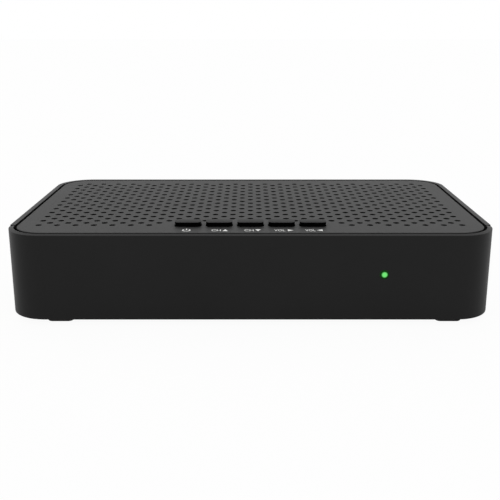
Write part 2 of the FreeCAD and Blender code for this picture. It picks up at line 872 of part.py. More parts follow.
def rear_panel():
    """The sheet steel panel, cut out for each socket."""
    half = rear_opening_width / 2 + panel_side_lap - panel_slot_clearance
    panel = slab(-half, half, panel_inner_y, panel_outer_y, floor_z, ledge_z - panel_top_gap)
    cuts = [rod(x, panel_inner_y - 1, aerial_z, aerial_root_radius + socket_cut_clearance,
                panel_thickness + 2, "y") for x in aerial_places()]
    for x, size in rear_sockets():
        cuts.append(slab(x - size[0] / 2 - socket_cut_clearance, x + size[0] / 2 + socket_cut_clearance,
                         panel_inner_y - 1, panel_outer_y + 1, board_top - socket_cut_clearance,
                         board_top + size[2] + socket_cut_clearance))
    for x, z, radius in round_sockets():
        cuts.append(rod(x, panel_inner_y - 1, z, radius + socket_cut_clearance, panel_thickness + 2, "y"))
    return panel.cut(cuts)


def mouth_y():
    """The Y of the sockets' mouths, which stand a little outside the panel."""
    return panel_outer_y + socket_stand


def socket_front(size):
    """The Y where a socket's body starts."""
    return mouth_y() - size[1]


def digital_video_socket():
    """A thin shell with the two sloping lower corners of its kind."""
    x = socket_places()["video"]
    width, depth, height = video_size
    y0 = socket_front(video_size)
    shell = block(x, video_size, y0, board_top)
    low = board_top + socket_shell
    half = width / 2 - socket_shell
    top = board_top + height - socket_shell
    points = [(-half, top), (half, top), (half, low + video_slope), (half - video_slope, low),
              (-half + video_slope, low), (-half, low + video_slope), (-half, top)]
    outline = Part.makePolygon([FreeCAD.Vector(x + dx, y0 + socket_back, z) for dx, z in points])
    return shell.cut(Part.Face(outline).extrude(FreeCAD.Vector(0, depth, 0)))


def digital_video_tongue():
    """The contact tongue inside the digital video socket."""
    width, depth, height = video_size
    size = (width - 2 * video_tongue_side, video_tongue_depth, video_tongue_thickness)
    return block(socket_places()["video"], size, socket_front(video_size) + socket_back,
                 board_top + height / 2)


def data_socket():
    """A rectangular metal shell for a data plug."""
    x = socket_places()["data"]
    width, depth, height = data_size
    y0 = socket_front(data_size)
    shell = block(x, data_size, y0, board_top)
    inside = block(x, (width - 2 * socket_shell, depth, height - 2 * socket_shell), y0 + socket_back,
                   board_top + socket_shell)
    return shell.cut(inside)


def data_tongue():
    """The contact tongue inside the data socket."""
    width, depth, height = data_size
    size = (width - 2 * data_tongue_side, data_tongue_depth, data_tongue_thickness)
    z = board_top + height - socket_shell - data_tongue_drop - data_tongue_thickness
    return block(socket_places()["data"], size, socket_front(data_size) + socket_back, z)


def network_mouth_z():
    """The height of the lower edge of the network socket's mouth."""
    return board_top + (network_size[2] - network_hole[1]) / 2 + network_hole_lift


def network_socket():
    """The network socket: a block with a stepped mouth for a latch."""
    x = socket_places()["network"]
    hole_width, hole_height, hole_depth = network_hole
    y1 = mouth_y()
    z0 = network_mouth_z()
    body = block(x, network_size, y1 - network_size[1], board_top)
    mouth = block(x, (hole_width, hole_depth + 1, hole_height), y1 - hole_depth, z0)
    latch = block(x, (network_latch_width, hole_depth + 1, network_latch_depth + 1), y1 - hole_depth,
                  z0 - network_latch_depth)
    return body.cut([mouth, latch])


def network_contacts():
    """The sprung wires along the top of the network socket's mouth."""
    hole_depth = network_hole[2]
    start = mouth_y() - hole_depth
    z = network_mouth_z() + network_hole[1] - network_wire_thickness
    size = (network_wire_width, hole_depth - network_wire_end_gap, network_wire_thickness)
    middle = (network_wire_count - 1) / 2
    return group([block(socket_places()["network"] + (index - middle) * network_wire_pitch, size, start, z)
                  for index in range(network_wire_count)])


def coaxial_audio_socket():
    """A single coaxial audio socket: a square base and a hollow barrel."""
    x = socket_places()["audio"]
    z = board_top + audio_size[2] / 2
    start = panel_inner_y - collar_root
    length = collar_root + panel_thickness + audio_barrel_reach
    base = block(x, audio_size, panel_inner_y - audio_size[1], board_top)
    body = join([base, rod(x, start, z, audio_barrel_radius, length, "y")])
    return body.cut(rod(x, start, z, audio_barrel_radius - audio_shell, length + 1, "y"))


def audio_insulator():
    """The insulator inside the coaxial audio socket, with the hole for the pin."""
    x = socket_places()["audio"]
    z = board_top + audio_size[2] / 2
    start = panel_inner_y - collar_root
    length = collar_root + panel_thickness + audio_barrel_reach - audio_insulator_recess
    plug = rod(x, start, z, audio_barrel_radius - audio_shell - thread_clearance, length, "y")
    return plug.cut(rod(x, start + audio_bore_floor, z, audio_bore_radius, length, "y"))


def collared_jack(x, size, collar_radius, bore_radius, bore_length):
    """A block on the board with a round collar through the rear panel and a blind bore."""
    z = board_top + size[2] / 2
    base = block(x, size, panel_inner_y - size[1], board_top)
    start = panel_inner_y - collar_root
    collar = rod(x, start, z, collar_radius, mouth_y() - start, "y")
    return join([base, collar]).cut(rod(x, mouth_y() - bore_length, z, bore_radius, bore_length + 1, "y"))


def av_jack():
    """The 3.5 mm jack."""
    return collared_jack(socket_places()["jack"], jack_size, jack_collar_radius, jack_radius,
                         jack_bore_length)


def power_jack():
    """The power jack, with a deep round mouth."""
    return collared_jack(socket_places()["power"], power_size, power_bore_radius + power_collar,
                         power_bore_radius, power_bore_length)


def power_pin():
    """The centre pin of the power jack, rounded at its tip."""
    z = board_top + power_size[2] / 2
    start = mouth_y() - power_bore_length
    length = power_bore_length - power_pin_recess
    pin = rod(socket_places()["power"], start, z, power_pin_radius, length, "y")
    tip = [edge for edge in pin.Edges
           if edge.BoundBox.YMin > start + power_pin_radius and edge.BoundBox.YLength < 1e-4]
    return pin.makeFillet(min(power_pin_tip_radius, power_pin_radius / 2), tip)


def reader_middle_y():
    """The middle of the card reader: half way between the two pillars on its side."""
    return (front_y + front_boss_setback + rear_y - rear_boss_setback) / 2


def pillar_room(height):
    """The room that the pillars take from what lies on the board's level, with their gap."""
    return [rod(x, y, board_z - 1, pillar_radius + board_pillar_gap, board_thickness + height + 1)
            for x, y in boss_places()]


def reader_span():
    """The card reader's extent along X and Y."""
    half = card_width / 2 + reader_rail
    return reader_side - reader_reach, reader_side, reader_middle_y() - half, reader_middle_y() + half


def card_reader():
    """A flat frame with a slot for a card, open towards the side wall."""
    x0, x1, y0, y1 = reader_span()
    height = reader_floor + card_gap + reader_roof
    frame = slab(x0, x1, y0, y1, board_top, board_top + height)
    slot = slab(x0 - 1, x1 - reader_end, y0 + reader_rail, y1 - reader_rail, board_top + reader_floor,
                board_top + reader_floor + card_gap)
    window = slab(x1 - reader_window_near, x1 - reader_window_far, y0 + reader_window_side,
                  y1 - reader_window_side, board_top + reader_floor, board_top + height + 1)
    return frame.cut([slot, window] + pillar_room(height + 1))


def card_contacts():
    """The contact springs on the reader's floor, in two rows."""
    x0, x1, y0, y1 = reader_span()
    strips = []
    for row in range(card_contact_rows):
        for index in range(card_contacts_in_row):
            x = x1 - card_contact_inset + row * card_contact_row_pitch
            y = (y0 + y1) / 2 + (index - (card_contacts_in_row - 1) / 2) * card_contact_pitch
            strips.append(block(x, card_contact_size, y - card_contact_size[1] / 2,
                                board_top + reader_floor))
    return group(strips)


def on_processor(side, z0, z1):
    """A square plate on the middle of the main chip."""
    x = board_columns()["processor"]
    y = front_y + processor_setback
    return slab(x - side / 2, x + side / 2, y - side / 2, y + side / 2, z0, z1)


def processor():
    """The main chip."""
    return on_processor(processor_side, board_top, board_top + processor_height)


def thermal_pad():
    """The soft pad between the main chip and its heat sink."""
    z0 = board_top + processor_height
    return on_processor(pad_side, z0, z0 + pad_height)


def heat_sink():
    """A finned aluminium heat sink on the thermal pad."""
    z0 = board_top + processor_height + pad_height
    parts = [on_processor(sink_side, z0, z0 + sink_base)]
    step = (sink_side - fin_thickness) / (fin_count - 1)
    y0 = front_y + processor_setback - sink_side / 2
    for index in range(fin_count):
        x = board_columns()["processor"] + (index - (fin_count - 1) / 2) * step
        parts.append(block(x, (fin_thickness, sink_side, sink_height), y0, z0))
    return join(parts)


def memory_chips():
    """Two memory chips beside the main chip."""
    return group([block(board_columns()["memory"], memory_size, front_y + setback - memory_size[1] / 2,
                        board_top) for setback in memory_setbacks])


def capacitor(x, setback, radius, height):
    """One electrolytic capacitor: a can with a rounded top edge."""
    can = rod(x, front_y + setback, board_top, radius, height)
    return can.makeFillet(capacitor_edge_radius, level_edges(can, board_top + height))


def capacitors():
    """Two pairs of capacitors at the side of the board and one beside the card reader."""
    cans = [capacitor(board_columns()["near_reader"], reader_capacitor_setback, small_capacitor_radius,
                      small_capacitor_height)]
    for column in ("inner_capacitors", "outer_capacitors"):
        x = board_columns()[column]
        cans.append(capacitor(x, large_capacitor_setback, large_capacitor_radius, large_capacitor_height))
        cans.append(capacitor(x, small_capacitor_setback, small_capacitor_radius, small_capacitor_height))
    return group(cans)


def inductors():
    """Moulded square inductors."""
    half = inductor_side / 2
    placed = [(board_columns()["inductors"], setback) for setback in inductor_setbacks]
    placed.append((board_columns()["near_reader"], reader_inductor_setback))
    return group([slab(x - half, x + half, front_y + setback - half, front_y + setback + half, board_top,
                       board_top + inductor_height, inductor_corner_radius) for x, setback in placed])


def crystal():
    """The quartz crystal in its oval can, half way between the heat sink and the network socket."""
    width, depth, height = crystal_size
    x = board_columns()["processor"] + crystal_offset
    y = (front_y + processor_setback + sink_side / 2 + socket_front(network_size)) / 2
    return slab(x - width / 2, x + width / 2, y - depth / 2, y + depth / 2, board_top,
                board_top + height, min(crystal_corner_radius, depth / 2 - least_flat))


def rating_label():
    """A bare label on the underside."""
    y = front_y + label_setback
    return slab(-label_width / 2, label_width / 2, y - label_depth / 2, y + label_depth / 2,
                base_z - label_thickness, base_z, label_corner_radius)


def save(name, shape):
    """Write one node."""
    shape.exportStep("parts/" + name + ".step")


def build():
    """Write every node of the receiver."""
    os.makedirs("parts", exist_ok=True)
    makers = [base_tray, front_panel, top_cover, rear_panel, key_switches, switch_domes, key_board,
              key_board_screws, main_board, board_screws, case_screws, light_pipe, status_light,
              receiver_eye, ribbon_sockets, ribbon_cable, aerial_insulators, aerial_contacts,
              aerial_washers, aerial_nuts, tuner_can, tuner_lid, digital_video_socket,
              digital_video_tongue, data_socket, data_tongue, network_socket, network_contacts,
              coaxial_audio_socket, audio_insulator, av_jack, power_jack, power_pin, card_reader,
              card_contacts, processor, thermal_pad, heat_sink, memory_chips, capacitors, inductors,
              crystal, rating_label]
    for maker in makers:
        save(maker.__name__, maker())
    key_names = ["power", "channel_up", "channel_down", "volume_up", "volume_down"]
    for name, x in zip(key_names, key_centres()):
        save("key_" + name, key_cap(x))
        save("plunger_" + name, key_plunger(x))
    for name, (x, y) in zip(["front_left", "front_right", "rear_left", "rear_right"], feet_places()):
        save("foot_" + name, rubber_foot(x, y))
    for name, x in zip(["satellite_in_socket", "satellite_loop_socket"], aerial_places()):
        save(name, aerial_socket(x))


build()
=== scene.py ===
"""Looks of a satellite television receiver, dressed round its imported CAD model.

The case is satin black moulded plastic with a perforated lid, five keys and a green status light. At its back
are a powder-coated steel panel and the sockets. Lengths in the classes are millimetres, and Blender's are
metres.
"""

import json
import logging
import math
from dataclasses import dataclass
from enum import Enum
from functools import partial
from typing import Any, Callable, Iterable

import bpy
from bpy.types import Material, Node, NodeSocket, NodeTree, Object
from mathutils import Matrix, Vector


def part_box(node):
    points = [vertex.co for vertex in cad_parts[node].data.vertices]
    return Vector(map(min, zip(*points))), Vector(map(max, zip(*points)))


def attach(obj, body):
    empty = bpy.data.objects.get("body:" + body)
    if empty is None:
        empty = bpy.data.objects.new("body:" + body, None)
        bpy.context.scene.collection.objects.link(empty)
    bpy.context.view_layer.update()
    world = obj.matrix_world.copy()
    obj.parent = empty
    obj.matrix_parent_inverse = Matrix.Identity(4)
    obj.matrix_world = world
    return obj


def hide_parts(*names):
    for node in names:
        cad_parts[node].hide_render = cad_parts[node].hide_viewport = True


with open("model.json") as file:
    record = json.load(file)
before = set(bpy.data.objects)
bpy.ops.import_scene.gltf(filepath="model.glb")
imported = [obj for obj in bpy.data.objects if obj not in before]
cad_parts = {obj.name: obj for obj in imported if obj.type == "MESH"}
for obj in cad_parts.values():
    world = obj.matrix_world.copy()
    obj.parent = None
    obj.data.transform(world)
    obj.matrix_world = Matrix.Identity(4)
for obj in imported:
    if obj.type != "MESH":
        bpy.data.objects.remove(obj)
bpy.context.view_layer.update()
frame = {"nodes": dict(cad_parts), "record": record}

MM = 0.001
MERGE_DISTANCE = 0.0005 * MM
LOG = logging.getLogger("receiver")
Triple = tuple[float, float, float]


# ------------ node helpers
def linear(code: str) -> tuple[float, float, float, float]:
    """Turn an sRGB hex colour into linear light.

    Args:
        code: Six hex digits, with or without a leading hash.

    Returns:
        Red, green and blue in linear light, and an alpha of one.
    """
    channels = [int(code.lstrip("#")[start:start + 2], 16) / 255 for start in (0, 2, 4)]
    bent = [c / 12.92 if c <= 0.04045 else ((c + 0.055) / 1.055) ** 2.4 for c in channels]
    return bent[0], bent[1], bent[2], 1.0


def add_node(tree: NodeTree, kind: str, settings: dict[str, Any] | None = None, **inputs: Any) -> Node:
    """Add one node with its settings, its constants and its links.

    Args:
        tree: The node tree that takes the node.
        kind: The node's type name without its ShaderNode, such as Bump.
        settings: Properties of the node itself.
        **inputs: Socket names, with underscores for spaces, or i0, i1 and so on for a socket's number. Each
            has a number, a colour, an output socket, or a node with exactly one output in use.

    Returns:
        The new node.
    """
    node = tree.nodes.new(f"ShaderNode{kind}")
    for name, value in (settings or {}).items():
        setattr(node, name, value)
    for name, value in inputs.items():
        key: Any = int(name[1:]) if name[0] == "i" and name[1:].isdigit() else name.replace("_", " ")
        if isinstance(value, Node):
            (value,) = (output for output in value.outputs if output.enabled)
        if isinstance(value, NodeSocket):
            tree.links.new(value, node.inputs[key])
        else:
            node.inputs[key].default_value = value
    return node


def new_material(name: str) -> tuple[Material, Callable[..., Node], NodeSocket]:
    """Start a material.

    Args:
        name: The material's name.

    Returns:
        The material, add_node for its own tree, and the Object coordinates of the shaded point, in metres.
    """
    material = bpy.data.materials.new(name)
    material.use_nodes = True
    material.node_tree.nodes.clear()
    add = partial(add_node, material.node_tree)
    return material, add, add("TexCoord").outputs["Object"]


def middle_of(low: Iterable[float], high: Iterable[float]) -> tuple[float, ...]:
    """The point half way between two corners."""
    return tuple((a + b) / 2 for a, b in zip(low, high))


def per_metre(size_mm: float) -> float:
    """The scale that makes a texture's unit cell measure size_mm."""
    return 1.0 / (size_mm * MM)


def bands_per_metre(pitch_mm: float) -> float:
    """The scale that sets a wave texture's bands pitch_mm apart: it draws one each tau / 20 of a unit."""
    return math.tau * per_metre(pitch_mm) / 20.0


def tinted(add: Callable[..., Node], code: str, pattern: NodeSocket, share: float) -> Node:
    """Make a colour a little lighter and darker where a pattern runs from 0.3 to 0.7.

    Args:
        add: What adds a node to the tree.
        code: The colour's hex digits.
        pattern: A socket from 0 to 1.
        share: How much lighter or darker, as a share.

    Returns:
        The node that gives the varied colour.
    """
    tint = add("MapRange", Value=pattern, From_Min=0.3, From_Max=0.7, To_Min=1.0 - share,
               To_Max=1.0 + share)
    return add("VectorMath", {"operation": "SCALE"}, i0=linear(code)[:3], Scale=tint)


# ------------ mesh helpers
def deselect_all() -> None:
    """Leave edit mode if it is on, and select nothing."""
    if bpy.context.object and bpy.context.object.mode != "OBJECT":
        bpy.ops.object.mode_set(mode="OBJECT")
    bpy.ops.object.select_all(action="DESELECT")


def select_only(*pieces: Object) -> None:
    """Select these pieces and make the first one active."""
    deselect_all()
    for piece in pieces:
        piece.select_set(True)
    bpy.context.view_layer.objects.active = pieces[0]


def settle(piece: Object) -> None:
    """Put a piece's place into its mesh, so that its object sits at the origin."""
    select_only(piece)
    bpy.ops.object.transform_apply(location=True, rotation=True, scale=True)


def apply_modifier(piece: Object, kind: str, **settings: Any) -> None:
    """Add a modifier with its settings and apply it.

    Args:
        piece: The mesh that takes it.
        kind: The modifier's type, such as SCREW.
        **settings: The modifier's properties.
    """
    select_only(piece)
    modifier = piece.modifiers.new(kind.lower(), kind)
    for name, value in settings.items():
        setattr(modifier, name, value)
    bpy.ops.object.modifier_apply(modifier=modifier.name)


def select_in_edit(piece: Object, wanted: Callable[[Vector], bool], mode: str = "VERT") -> None:
    """Open a piece in edit mode with only the wanted vertices, edges or faces selected.

    Args:
        piece: The mesh to open.
        wanted: Says whether to select, from a vertex's place, an edge's length and way, or a face's centre.
        mode: VERT, EDGE or FACE.
    """
    select_only(piece)
    bpy.ops.object.mode_set(mode="EDIT")
    bpy.ops.mesh.select_mode(type=mode)
    bpy.ops.mesh.select_all(action="DESELECT")
    bpy.ops.object.mode_set(mode="OBJECT")
    if mode == "VERT":
        for vertex in piece.data.vertices:
            vertex.select = wanted(vertex.co)
    elif mode == "EDGE":
        for edge in piece.data.edges:
            start, end = (piece.data.vertices[index].co for index in edge.vertices)
            edge.select = wanted(end - start)
    else:
        for face in piece.data.polygons:
            face.select = wanted(face.center)
    bpy.ops.object.mode_set(mode="EDIT")


def edit_all(piece: Object, merge: bool = False) -> None:
    """Open a piece in edit mode with all of it selected, and merge its doubles if asked."""
    select_in_edit(piece, lambda place: True)
    if merge:
        bpy.ops.mesh.remove_doubles(threshold=MERGE_DISTANCE)


def merge_and_face_out(piece: Object) -> None:
    """Merge doubles, turn all faces outwards and leave edit mode."""
    edit_all(piece, merge=True)
    bpy.ops.mesh.normals_make_consistent(inside=False)
    bpy.ops.object.mode_set(mode="OBJECT")


def chain(name: str, points: list[Triple]) -> Object:
    """Draw a chain of edges, by merging a plane to one vertex and extruding it from point to point.

    Args:
        name: The new object's name.
        points: The places in metres, in order.

    Returns:
        A mesh object at the origin that holds the chain.
    """
    deselect_all()
    bpy.ops.mesh.primitive_plane_add(size=MM, location=points[0])
    piece = bpy.context.object
    piece.name = name
    bpy.ops.object.transform_apply(location=True)
    bpy.ops.object.mode_set(mode="EDIT")
    bpy.ops.mesh.select_all(action="SELECT")
    bpy.ops.mesh.merge(type="CENTER")
    for start, end in zip(points, points[1:]):
        step = Vector(end) - Vector(start)
        bpy.ops.mesh.extrude_vertices_move(TRANSFORM_OT_translate={"value": step})
    bpy.ops.object.mode_set(mode="OBJECT")
    return piece


def lathe(name: str, profile: list[tuple[float, float]], centre: Triple, steps: int) -> Object:
    """Spin a closed profile round an axis along +Y.

    Args:
        name: The new object's name.
        profile: Pairs of radius and distance along +Y from the centre, in millimetres. It closes by itself.
        centre: The axis's place in metres, and where its distance is nought.
        steps: How many steps make the full turn.

    Returns:
        The turned piece.
    """
    x, y, z = centre
    points = [(x + radius * MM, y + along * MM, z) for radius, along in profile + profile[:1]]
    piece = chain(name, points)
    edit_all(piece, merge=True)
    bpy.ops.mesh.select_all(action="SELECT")
    bpy.ops.mesh.spin(steps=steps, angle=math.tau, center=centre, axis=(0.0, 1.0, 0.0))
    merge_and_face_out(piece)
    return piece


def smooth(piece: Object, angle_deg: float = 35.0) -> None:
    """Shade a piece smooth, except across edges sharper than the angle."""
    select_only(piece)
    bpy.ops.object.shade_smooth_by_angle(angle=math.radians(angle_deg))


def joined(name: str, pieces: list[Object]) -> Object:
    """Join pieces into one object, at the origin, under a new name."""
    for piece in pieces:
        settle(piece)
    select_only(*pieces)
    if len(pieces) > 1:
        bpy.ops.object.join()
    whole = bpy.context.object
    whole.name = name
    whole.data.name = name
    return whole


def set_type(word: str, place: Triple, width_mm: float | None, height_mm: float, thickness_mm: float,
             turn: Triple, weight: float = 0.0, spacing: float = 1.0) -> Object:
    """Set a word in type as a thin solid of an exact size.

    Args:
        word: The letters.
        place: The middle of the word on its surface, in metres.
        width_mm: The word's width, or None for the width that suits its height.
        height_mm: Its letters' height.
        thickness_mm: How far it stands up from the place.
        turn: Its turn about X, Y and Z, in radians.
        weight: How far the letters' outlines move outwards, as a share of the type's size.
        spacing: How far apart the letters stand, as a share of the type's own spacing.

    Returns:
        The word as a mesh.
    """
    deselect_all()
    bpy.ops.object.text_add()
    piece = bpy.context.object
    piece.data.body = word
    piece.data.resolution_u = 4
    piece.data.offset = weight
    piece.data.space_character = spacing
    select_only(piece)
    bpy.ops.object.convert(target="MESH")
    piece = bpy.context.object
    low = [min(vertex.co[axis] for vertex in piece.data.vertices) for axis in (0, 1)]
    high = [max(vertex.co[axis] for vertex in piece.data.vertices) for axis in (0, 1)]
    piece.location = (-(low[0] + high[0]) / 2, -(low[1] + high[1]) / 2, 0.0)
    settle(piece)
    upright = height_mm * MM / (high[1] - low[1])
    along = width_mm * MM / (high[0] - low[0]) if width_mm else upright
    piece.scale = (along, upright, 1.0)
    settle(piece)
    apply_modifier(piece, "SOLIDIFY", thickness=thickness_mm * MM, offset=1.0)
    piece.rotation_euler = turn
    piece.location = place
    settle(piece)
    merge_and_face_out(piece)
    return piece


def dress(node: str, material: Material) -> None:
    """Give a CAD node its finish, in the slots that it has."""
    for slot in frame["nodes"][node].material_slots:
        slot.material = material


def hand_over(piece: Object, body: str, material: Material) -> None:
    """Dress a new piece and tie it to its body.

    Args:
        piece: The finished piece.
        body: The CAD body that carries it.
        material: Its finish.
    """
    piece.data.materials.clear()
    piece.data.materials.append(material)
    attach(piece, body)
    LOG.info("%s: %d faces on %s", piece.name, len(piece.data.polygons), body)


# ------------ finishes
@dataclass(frozen=True)
class MouldedPlastic:
    """Injection-moulded plastic with a fine spark-eroded grain, which blurs what it reflects."""

    name: str
    colour: str
    roughness: float = 0.4
    specular: float = 0.2
    grain_mm: float = 0.35
    grain_height_mm: float = 0.004
    cloud_mm: float = 28.0
    cloud_share: float = 0.06
    roughness_spread: float = 0.015
    # Share of the colour that upright walls keep: painted shade, and 1.0 paints none.
    painted_shade_wall_share: float = 1.0

    def material(self) -> Material:
        """Build the material. Upright walls, as in the holes, keep only their set share of the colour, as
        painted shade.
        """
        material, add, point = new_material(self.name)
        grain = add("TexNoise", Vector=point, Scale=per_metre(self.grain_mm), Detail=3.0, Roughness=0.6)
        cloud = add("TexNoise", Vector=point, Scale=per_metre(self.cloud_mm), Detail=2.0)
        colour = tinted(add, self.colour, cloud.outputs["Fac"], self.cloud_share)
        if self.painted_shade_wall_share < 1.0:
            facing = add("SeparateXYZ", Vector=add("TexCoord").outputs["Normal"])
            level = add("Math", {"operation": "ABSOLUTE"}, i0=facing.outputs["Z"])
            share = add("MapRange", Value=level, From_Min=0.3, From_Max=0.7, To_Min=self.painted_shade_wall_share)
            colour = add("VectorMath", {"operation": "SCALE"}, i0=colour, Scale=share)
        gloss = add("MapRange", Value=cloud.outputs["Fac"], From_Min=0.3, From_Max=0.7,
                    To_Min=self.roughness - self.roughness_spread,
                    To_Max=self.roughness + self.roughness_spread)
        bump = add("Bump", Height=grain.outputs["Fac"], Strength=1.0, Distance=self.grain_height_mm * MM)
        shader = add("BsdfPrincipled", Base_Color=colour, Roughness=gloss, Normal=bump,
                     Specular_IOR_Level=self.specular)
        add("OutputMaterial", Surface=shader)
        return material


class Across(Enum):
    """The way that a tool or a roller left its lines, as a squeeze of the pattern along X, Y and Z."""

    ALONG_X = (0.06, 1.0, 1.0)
    ALONG_Y = (1.0, 0.06, 1.0)
    NONE = (1.0, 1.0, 1.0)


@dataclass(frozen=True)
class PowderCoat:
    """Baked powder paint on sheet steel: an even low sheen over a faint orange peel."""

    name: str
    colour: str
    roughness: float = 0.52
    specular: float = 0.35
    peel_mm: float = 0.9
    peel_height_mm: float = 0.012
    cloud_mm: float = 20.0
    cloud_share: float = 0.08
    roughness_spread: float = 0.05

    def material(self) -> Material:
        """Build the material."""
        material, add, point = new_material(self.name)
        peel = add("TexVoronoi", {"feature": "SMOOTH_F1"}, Vector=point, Scale=per_metre(self.peel_mm),
                   Smoothness=0.8)
        cloud = add("TexNoise", Vector=point, Scale=per_metre(self.cloud_mm), Detail=3.0)
        colour = tinted(add, self.colour, cloud.outputs["Fac"], self.cloud_share)
        gloss = add("MapRange", Value=cloud.outputs["Fac"], To_Min=self.roughness - self.roughness_spread,
                    To_Max=self.roughness + self.roughness_spread)
        bump = add("Bump", Height=peel.outputs["Distance"], Strength=0.6, Distance=self.peel_height_mm * MM)
        shader = add("BsdfPrincipled", Base_Color=colour, Roughness=gloss, Normal=bump,
                     Specular_IOR_Level=self.specular)
        add("OutputMaterial", Surface=shader)
        return material


@dataclass(frozen=True)
class PlatedMetal:
    """Metal with a plated, rolled or dyed skin: a coloured mirror that fine lines and stains break up."""

    name: str
    colour: str
    roughness: float = 0.28
    lines: Across = Across.NONE
    line_mm: float = 0.25
    line_height_mm: float = 0.002
    stain_mm: float = 3.0
    stain_share: float = 0.1
    stain_dulling: float = 1.25
    metallic: float = 1.0

    def material(self) -> Material:
        """Build the material. The lines are drawn about twice as coarse as real ones, so that they show."""
        material, add, point = new_material(self.name)
        along = add("VectorMath", {"operation": "MULTIPLY"}, i0=point, i1=self.lines.value)
        lines = add("TexNoise", Vector=along, Scale=per_metre(self.line_mm), Detail=2.0)
        stain = add("TexNoise", Vector=point, Scale=per_metre(self.stain_mm), Detail=4.0)
        colour = tinted(add, self.colour, stain.outputs["Fac"], self.stain_share)
        gloss = add("MapRange", Value=stain.outputs["Fac"], From_Min=0.3, From_Max=0.7,
                    To_Min=self.roughness / self.stain_dulling, To_Max=self.roughness * self.stain_dulling)
        bump = add("Bump", Height=lines.outputs["Fac"], Strength=0.5, Distance=self.line_height_mm * MM)
        shader = add("BsdfPrincipled", Base_Color=colour, Metallic=self.metallic, Roughness=gloss,
                     Normal=bump)
        add("OutputMaterial", Surface=shader)
        return material


@dataclass(frozen=True)
class SolderMask:
    """A glass-fibre board under green solder mask, with paler tracks and tinned through holes."""

    name: str
    colour: str = "#0F4A26"
    track_colour: str = "#1D6B39"
    pad_colour: str = "#B9BCB8"
    field_mm: float = 9.0
    track_pitch_mm: float = 0.9
    track_share: float = 0.62
    track_height_mm: float = 0.03
    hole_pitch_mm: float = 4.5
    pad_share: float = 0.085
    mask_roughness: float = 0.34
    track_roughness: float = 0.27

    def material(self) -> Material:
        """Build the material. Tracks run along X in some fields and along Y in the others."""
        material, add, point = new_material(self.name)
        fields = add("TexVoronoi", {"distance": "CHEBYCHEV"}, Vector=point, Scale=per_metre(self.field_mm))
        choice = add("SeparateColor", Color=fields.outputs["Color"])
        turned = add("Math", {"operation": "GREATER_THAN"}, i0=choice.outputs["Red"], i1=0.5)
        waves = [add("TexWave", {"bands_direction": axis}, Vector=point,
                     Scale=bands_per_metre(self.track_pitch_mm)) for axis in ("X", "Y")]
        either = add("Mix", {"data_type": "FLOAT"}, Factor=turned, A=waves[0].outputs["Fac"],
                     B=waves[1].outputs["Fac"])
        tracks = add("Math", {"operation": "GREATER_THAN"}, i0=either, i1=self.track_share)
        holes = add("TexVoronoi", Vector=point, Scale=per_metre(self.hole_pitch_mm))
        pads = add("Math", {"operation": "LESS_THAN"}, i0=holes.outputs["Distance"], i1=self.pad_share)
        mask = add("Mix", {"data_type": "RGBA"}, i0=tracks, i6=linear(self.colour),
                   i7=linear(self.track_colour))
        colour = add("Mix", {"data_type": "RGBA"}, i0=pads, i6=mask, i7=linear(self.pad_colour))
        gloss = add("MapRange", Value=tracks, To_Min=self.mask_roughness, To_Max=self.track_roughness)
        bump = add("Bump", Height=tracks, Strength=0.4, Distance=self.track_height_mm * MM)
        shader = add("BsdfPrincipled", Base_Color=colour, Metallic=pads, Roughness=gloss, Normal=bump)
        add("OutputMaterial", Surface=shader)
        return material


@dataclass(frozen=True)
class GlowingPlastic:
    """Tinted clear plastic with a lamp behind it: bright over the lamp and dark green towards its rim."""

    name: str
    centre: tuple[float, ...]
    core_colour: str = "#6FE173"
    rim_colour: str = "#0B330A"
    core_radius_mm: float = 0.64
    rim_radius_mm: float = 1.26
    mottle_mm: float = 0.6
    mottle_reach_mm: float = 0.12
    strength: float = 1.0
    roughness: float = 0.3
    specular: float = 0.04
    body_share: float = 0.1

    def material(self) -> Material:
        """Build the material. Its glow falls off with the distance from the axis, which runs along Y."""
        material, add, point = new_material(self.name)
        local = add("VectorMath", {"operation": "SUBTRACT"}, i0=point, i1=self.centre)
        flat = add("VectorMath", {"operation": "MULTIPLY"}, i0=local, i1=(1.0, 0.0, 1.0))
        radius = add("VectorMath", {"operation": "LENGTH"}, i0=flat)
        mottle = add("TexNoise", Vector=point, Scale=per_metre(self.mottle_mm))
        uneven = add("Math", {"operation": "MULTIPLY_ADD"}, i0=mottle.outputs["Fac"],
                     i1=self.mottle_reach_mm * MM, i2=radius)
        fade = add("MapRange", {"interpolation_type": "SMOOTHSTEP"}, Value=uneven,
                   From_Min=self.core_radius_mm * MM, From_Max=self.rim_radius_mm * MM)
        glow = add("Mix", {"data_type": "RGBA"}, i0=fade, i6=linear(self.core_colour),
                   i7=linear(self.rim_colour))
        body = add("VectorMath", {"operation": "SCALE"}, i0=glow, Scale=self.body_share)
        shader = add("BsdfPrincipled", Base_Color=body, Roughness=self.roughness, Emission_Color=glow,
                     Emission_Strength=self.strength, Specular_IOR_Level=self.specular)
        add("OutputMaterial", Surface=shader)
        return material


@dataclass(frozen=True)
class FoamedRubber:
    """Soft rubber: a matt skin with open pores, and dust caught in them."""

    name: str
    colour: str = "#1B1B1C"
    dust_colour: str = "#3A3936"
    pore_mm: float = 0.5
    pore_depth_mm: float = 0.02
    dust_mm: float = 2.5

    def material(self) -> Material:
        """Build the material."""
        material, add, point = new_material(self.name)
        pores = add("TexVoronoi", Vector=point, Scale=per_metre(self.pore_mm))
        dust = add("TexNoise", Vector=point, Scale=per_metre(self.dust_mm), Detail=5.0)
        share = add("MapRange", Value=dust.outputs["Fac"], From_Min=0.5, From_Max=0.75, To_Max=0.5)
        colour = add("Mix", {"data_type": "RGBA"}, i0=share, i6=linear(self.colour),
                     i7=linear(self.dust_colour))
        bump = add("Bump", Height=pores.outputs["Distance"], Strength=0.5, Distance=self.pore_depth_mm * MM)
        shader = add("BsdfPrincipled", Base_Color=colour, Roughness=0.85, Normal=bump,
                     Specular_IOR_Level=0.3)
        add("OutputMaterial", Surface=shader)
        return material


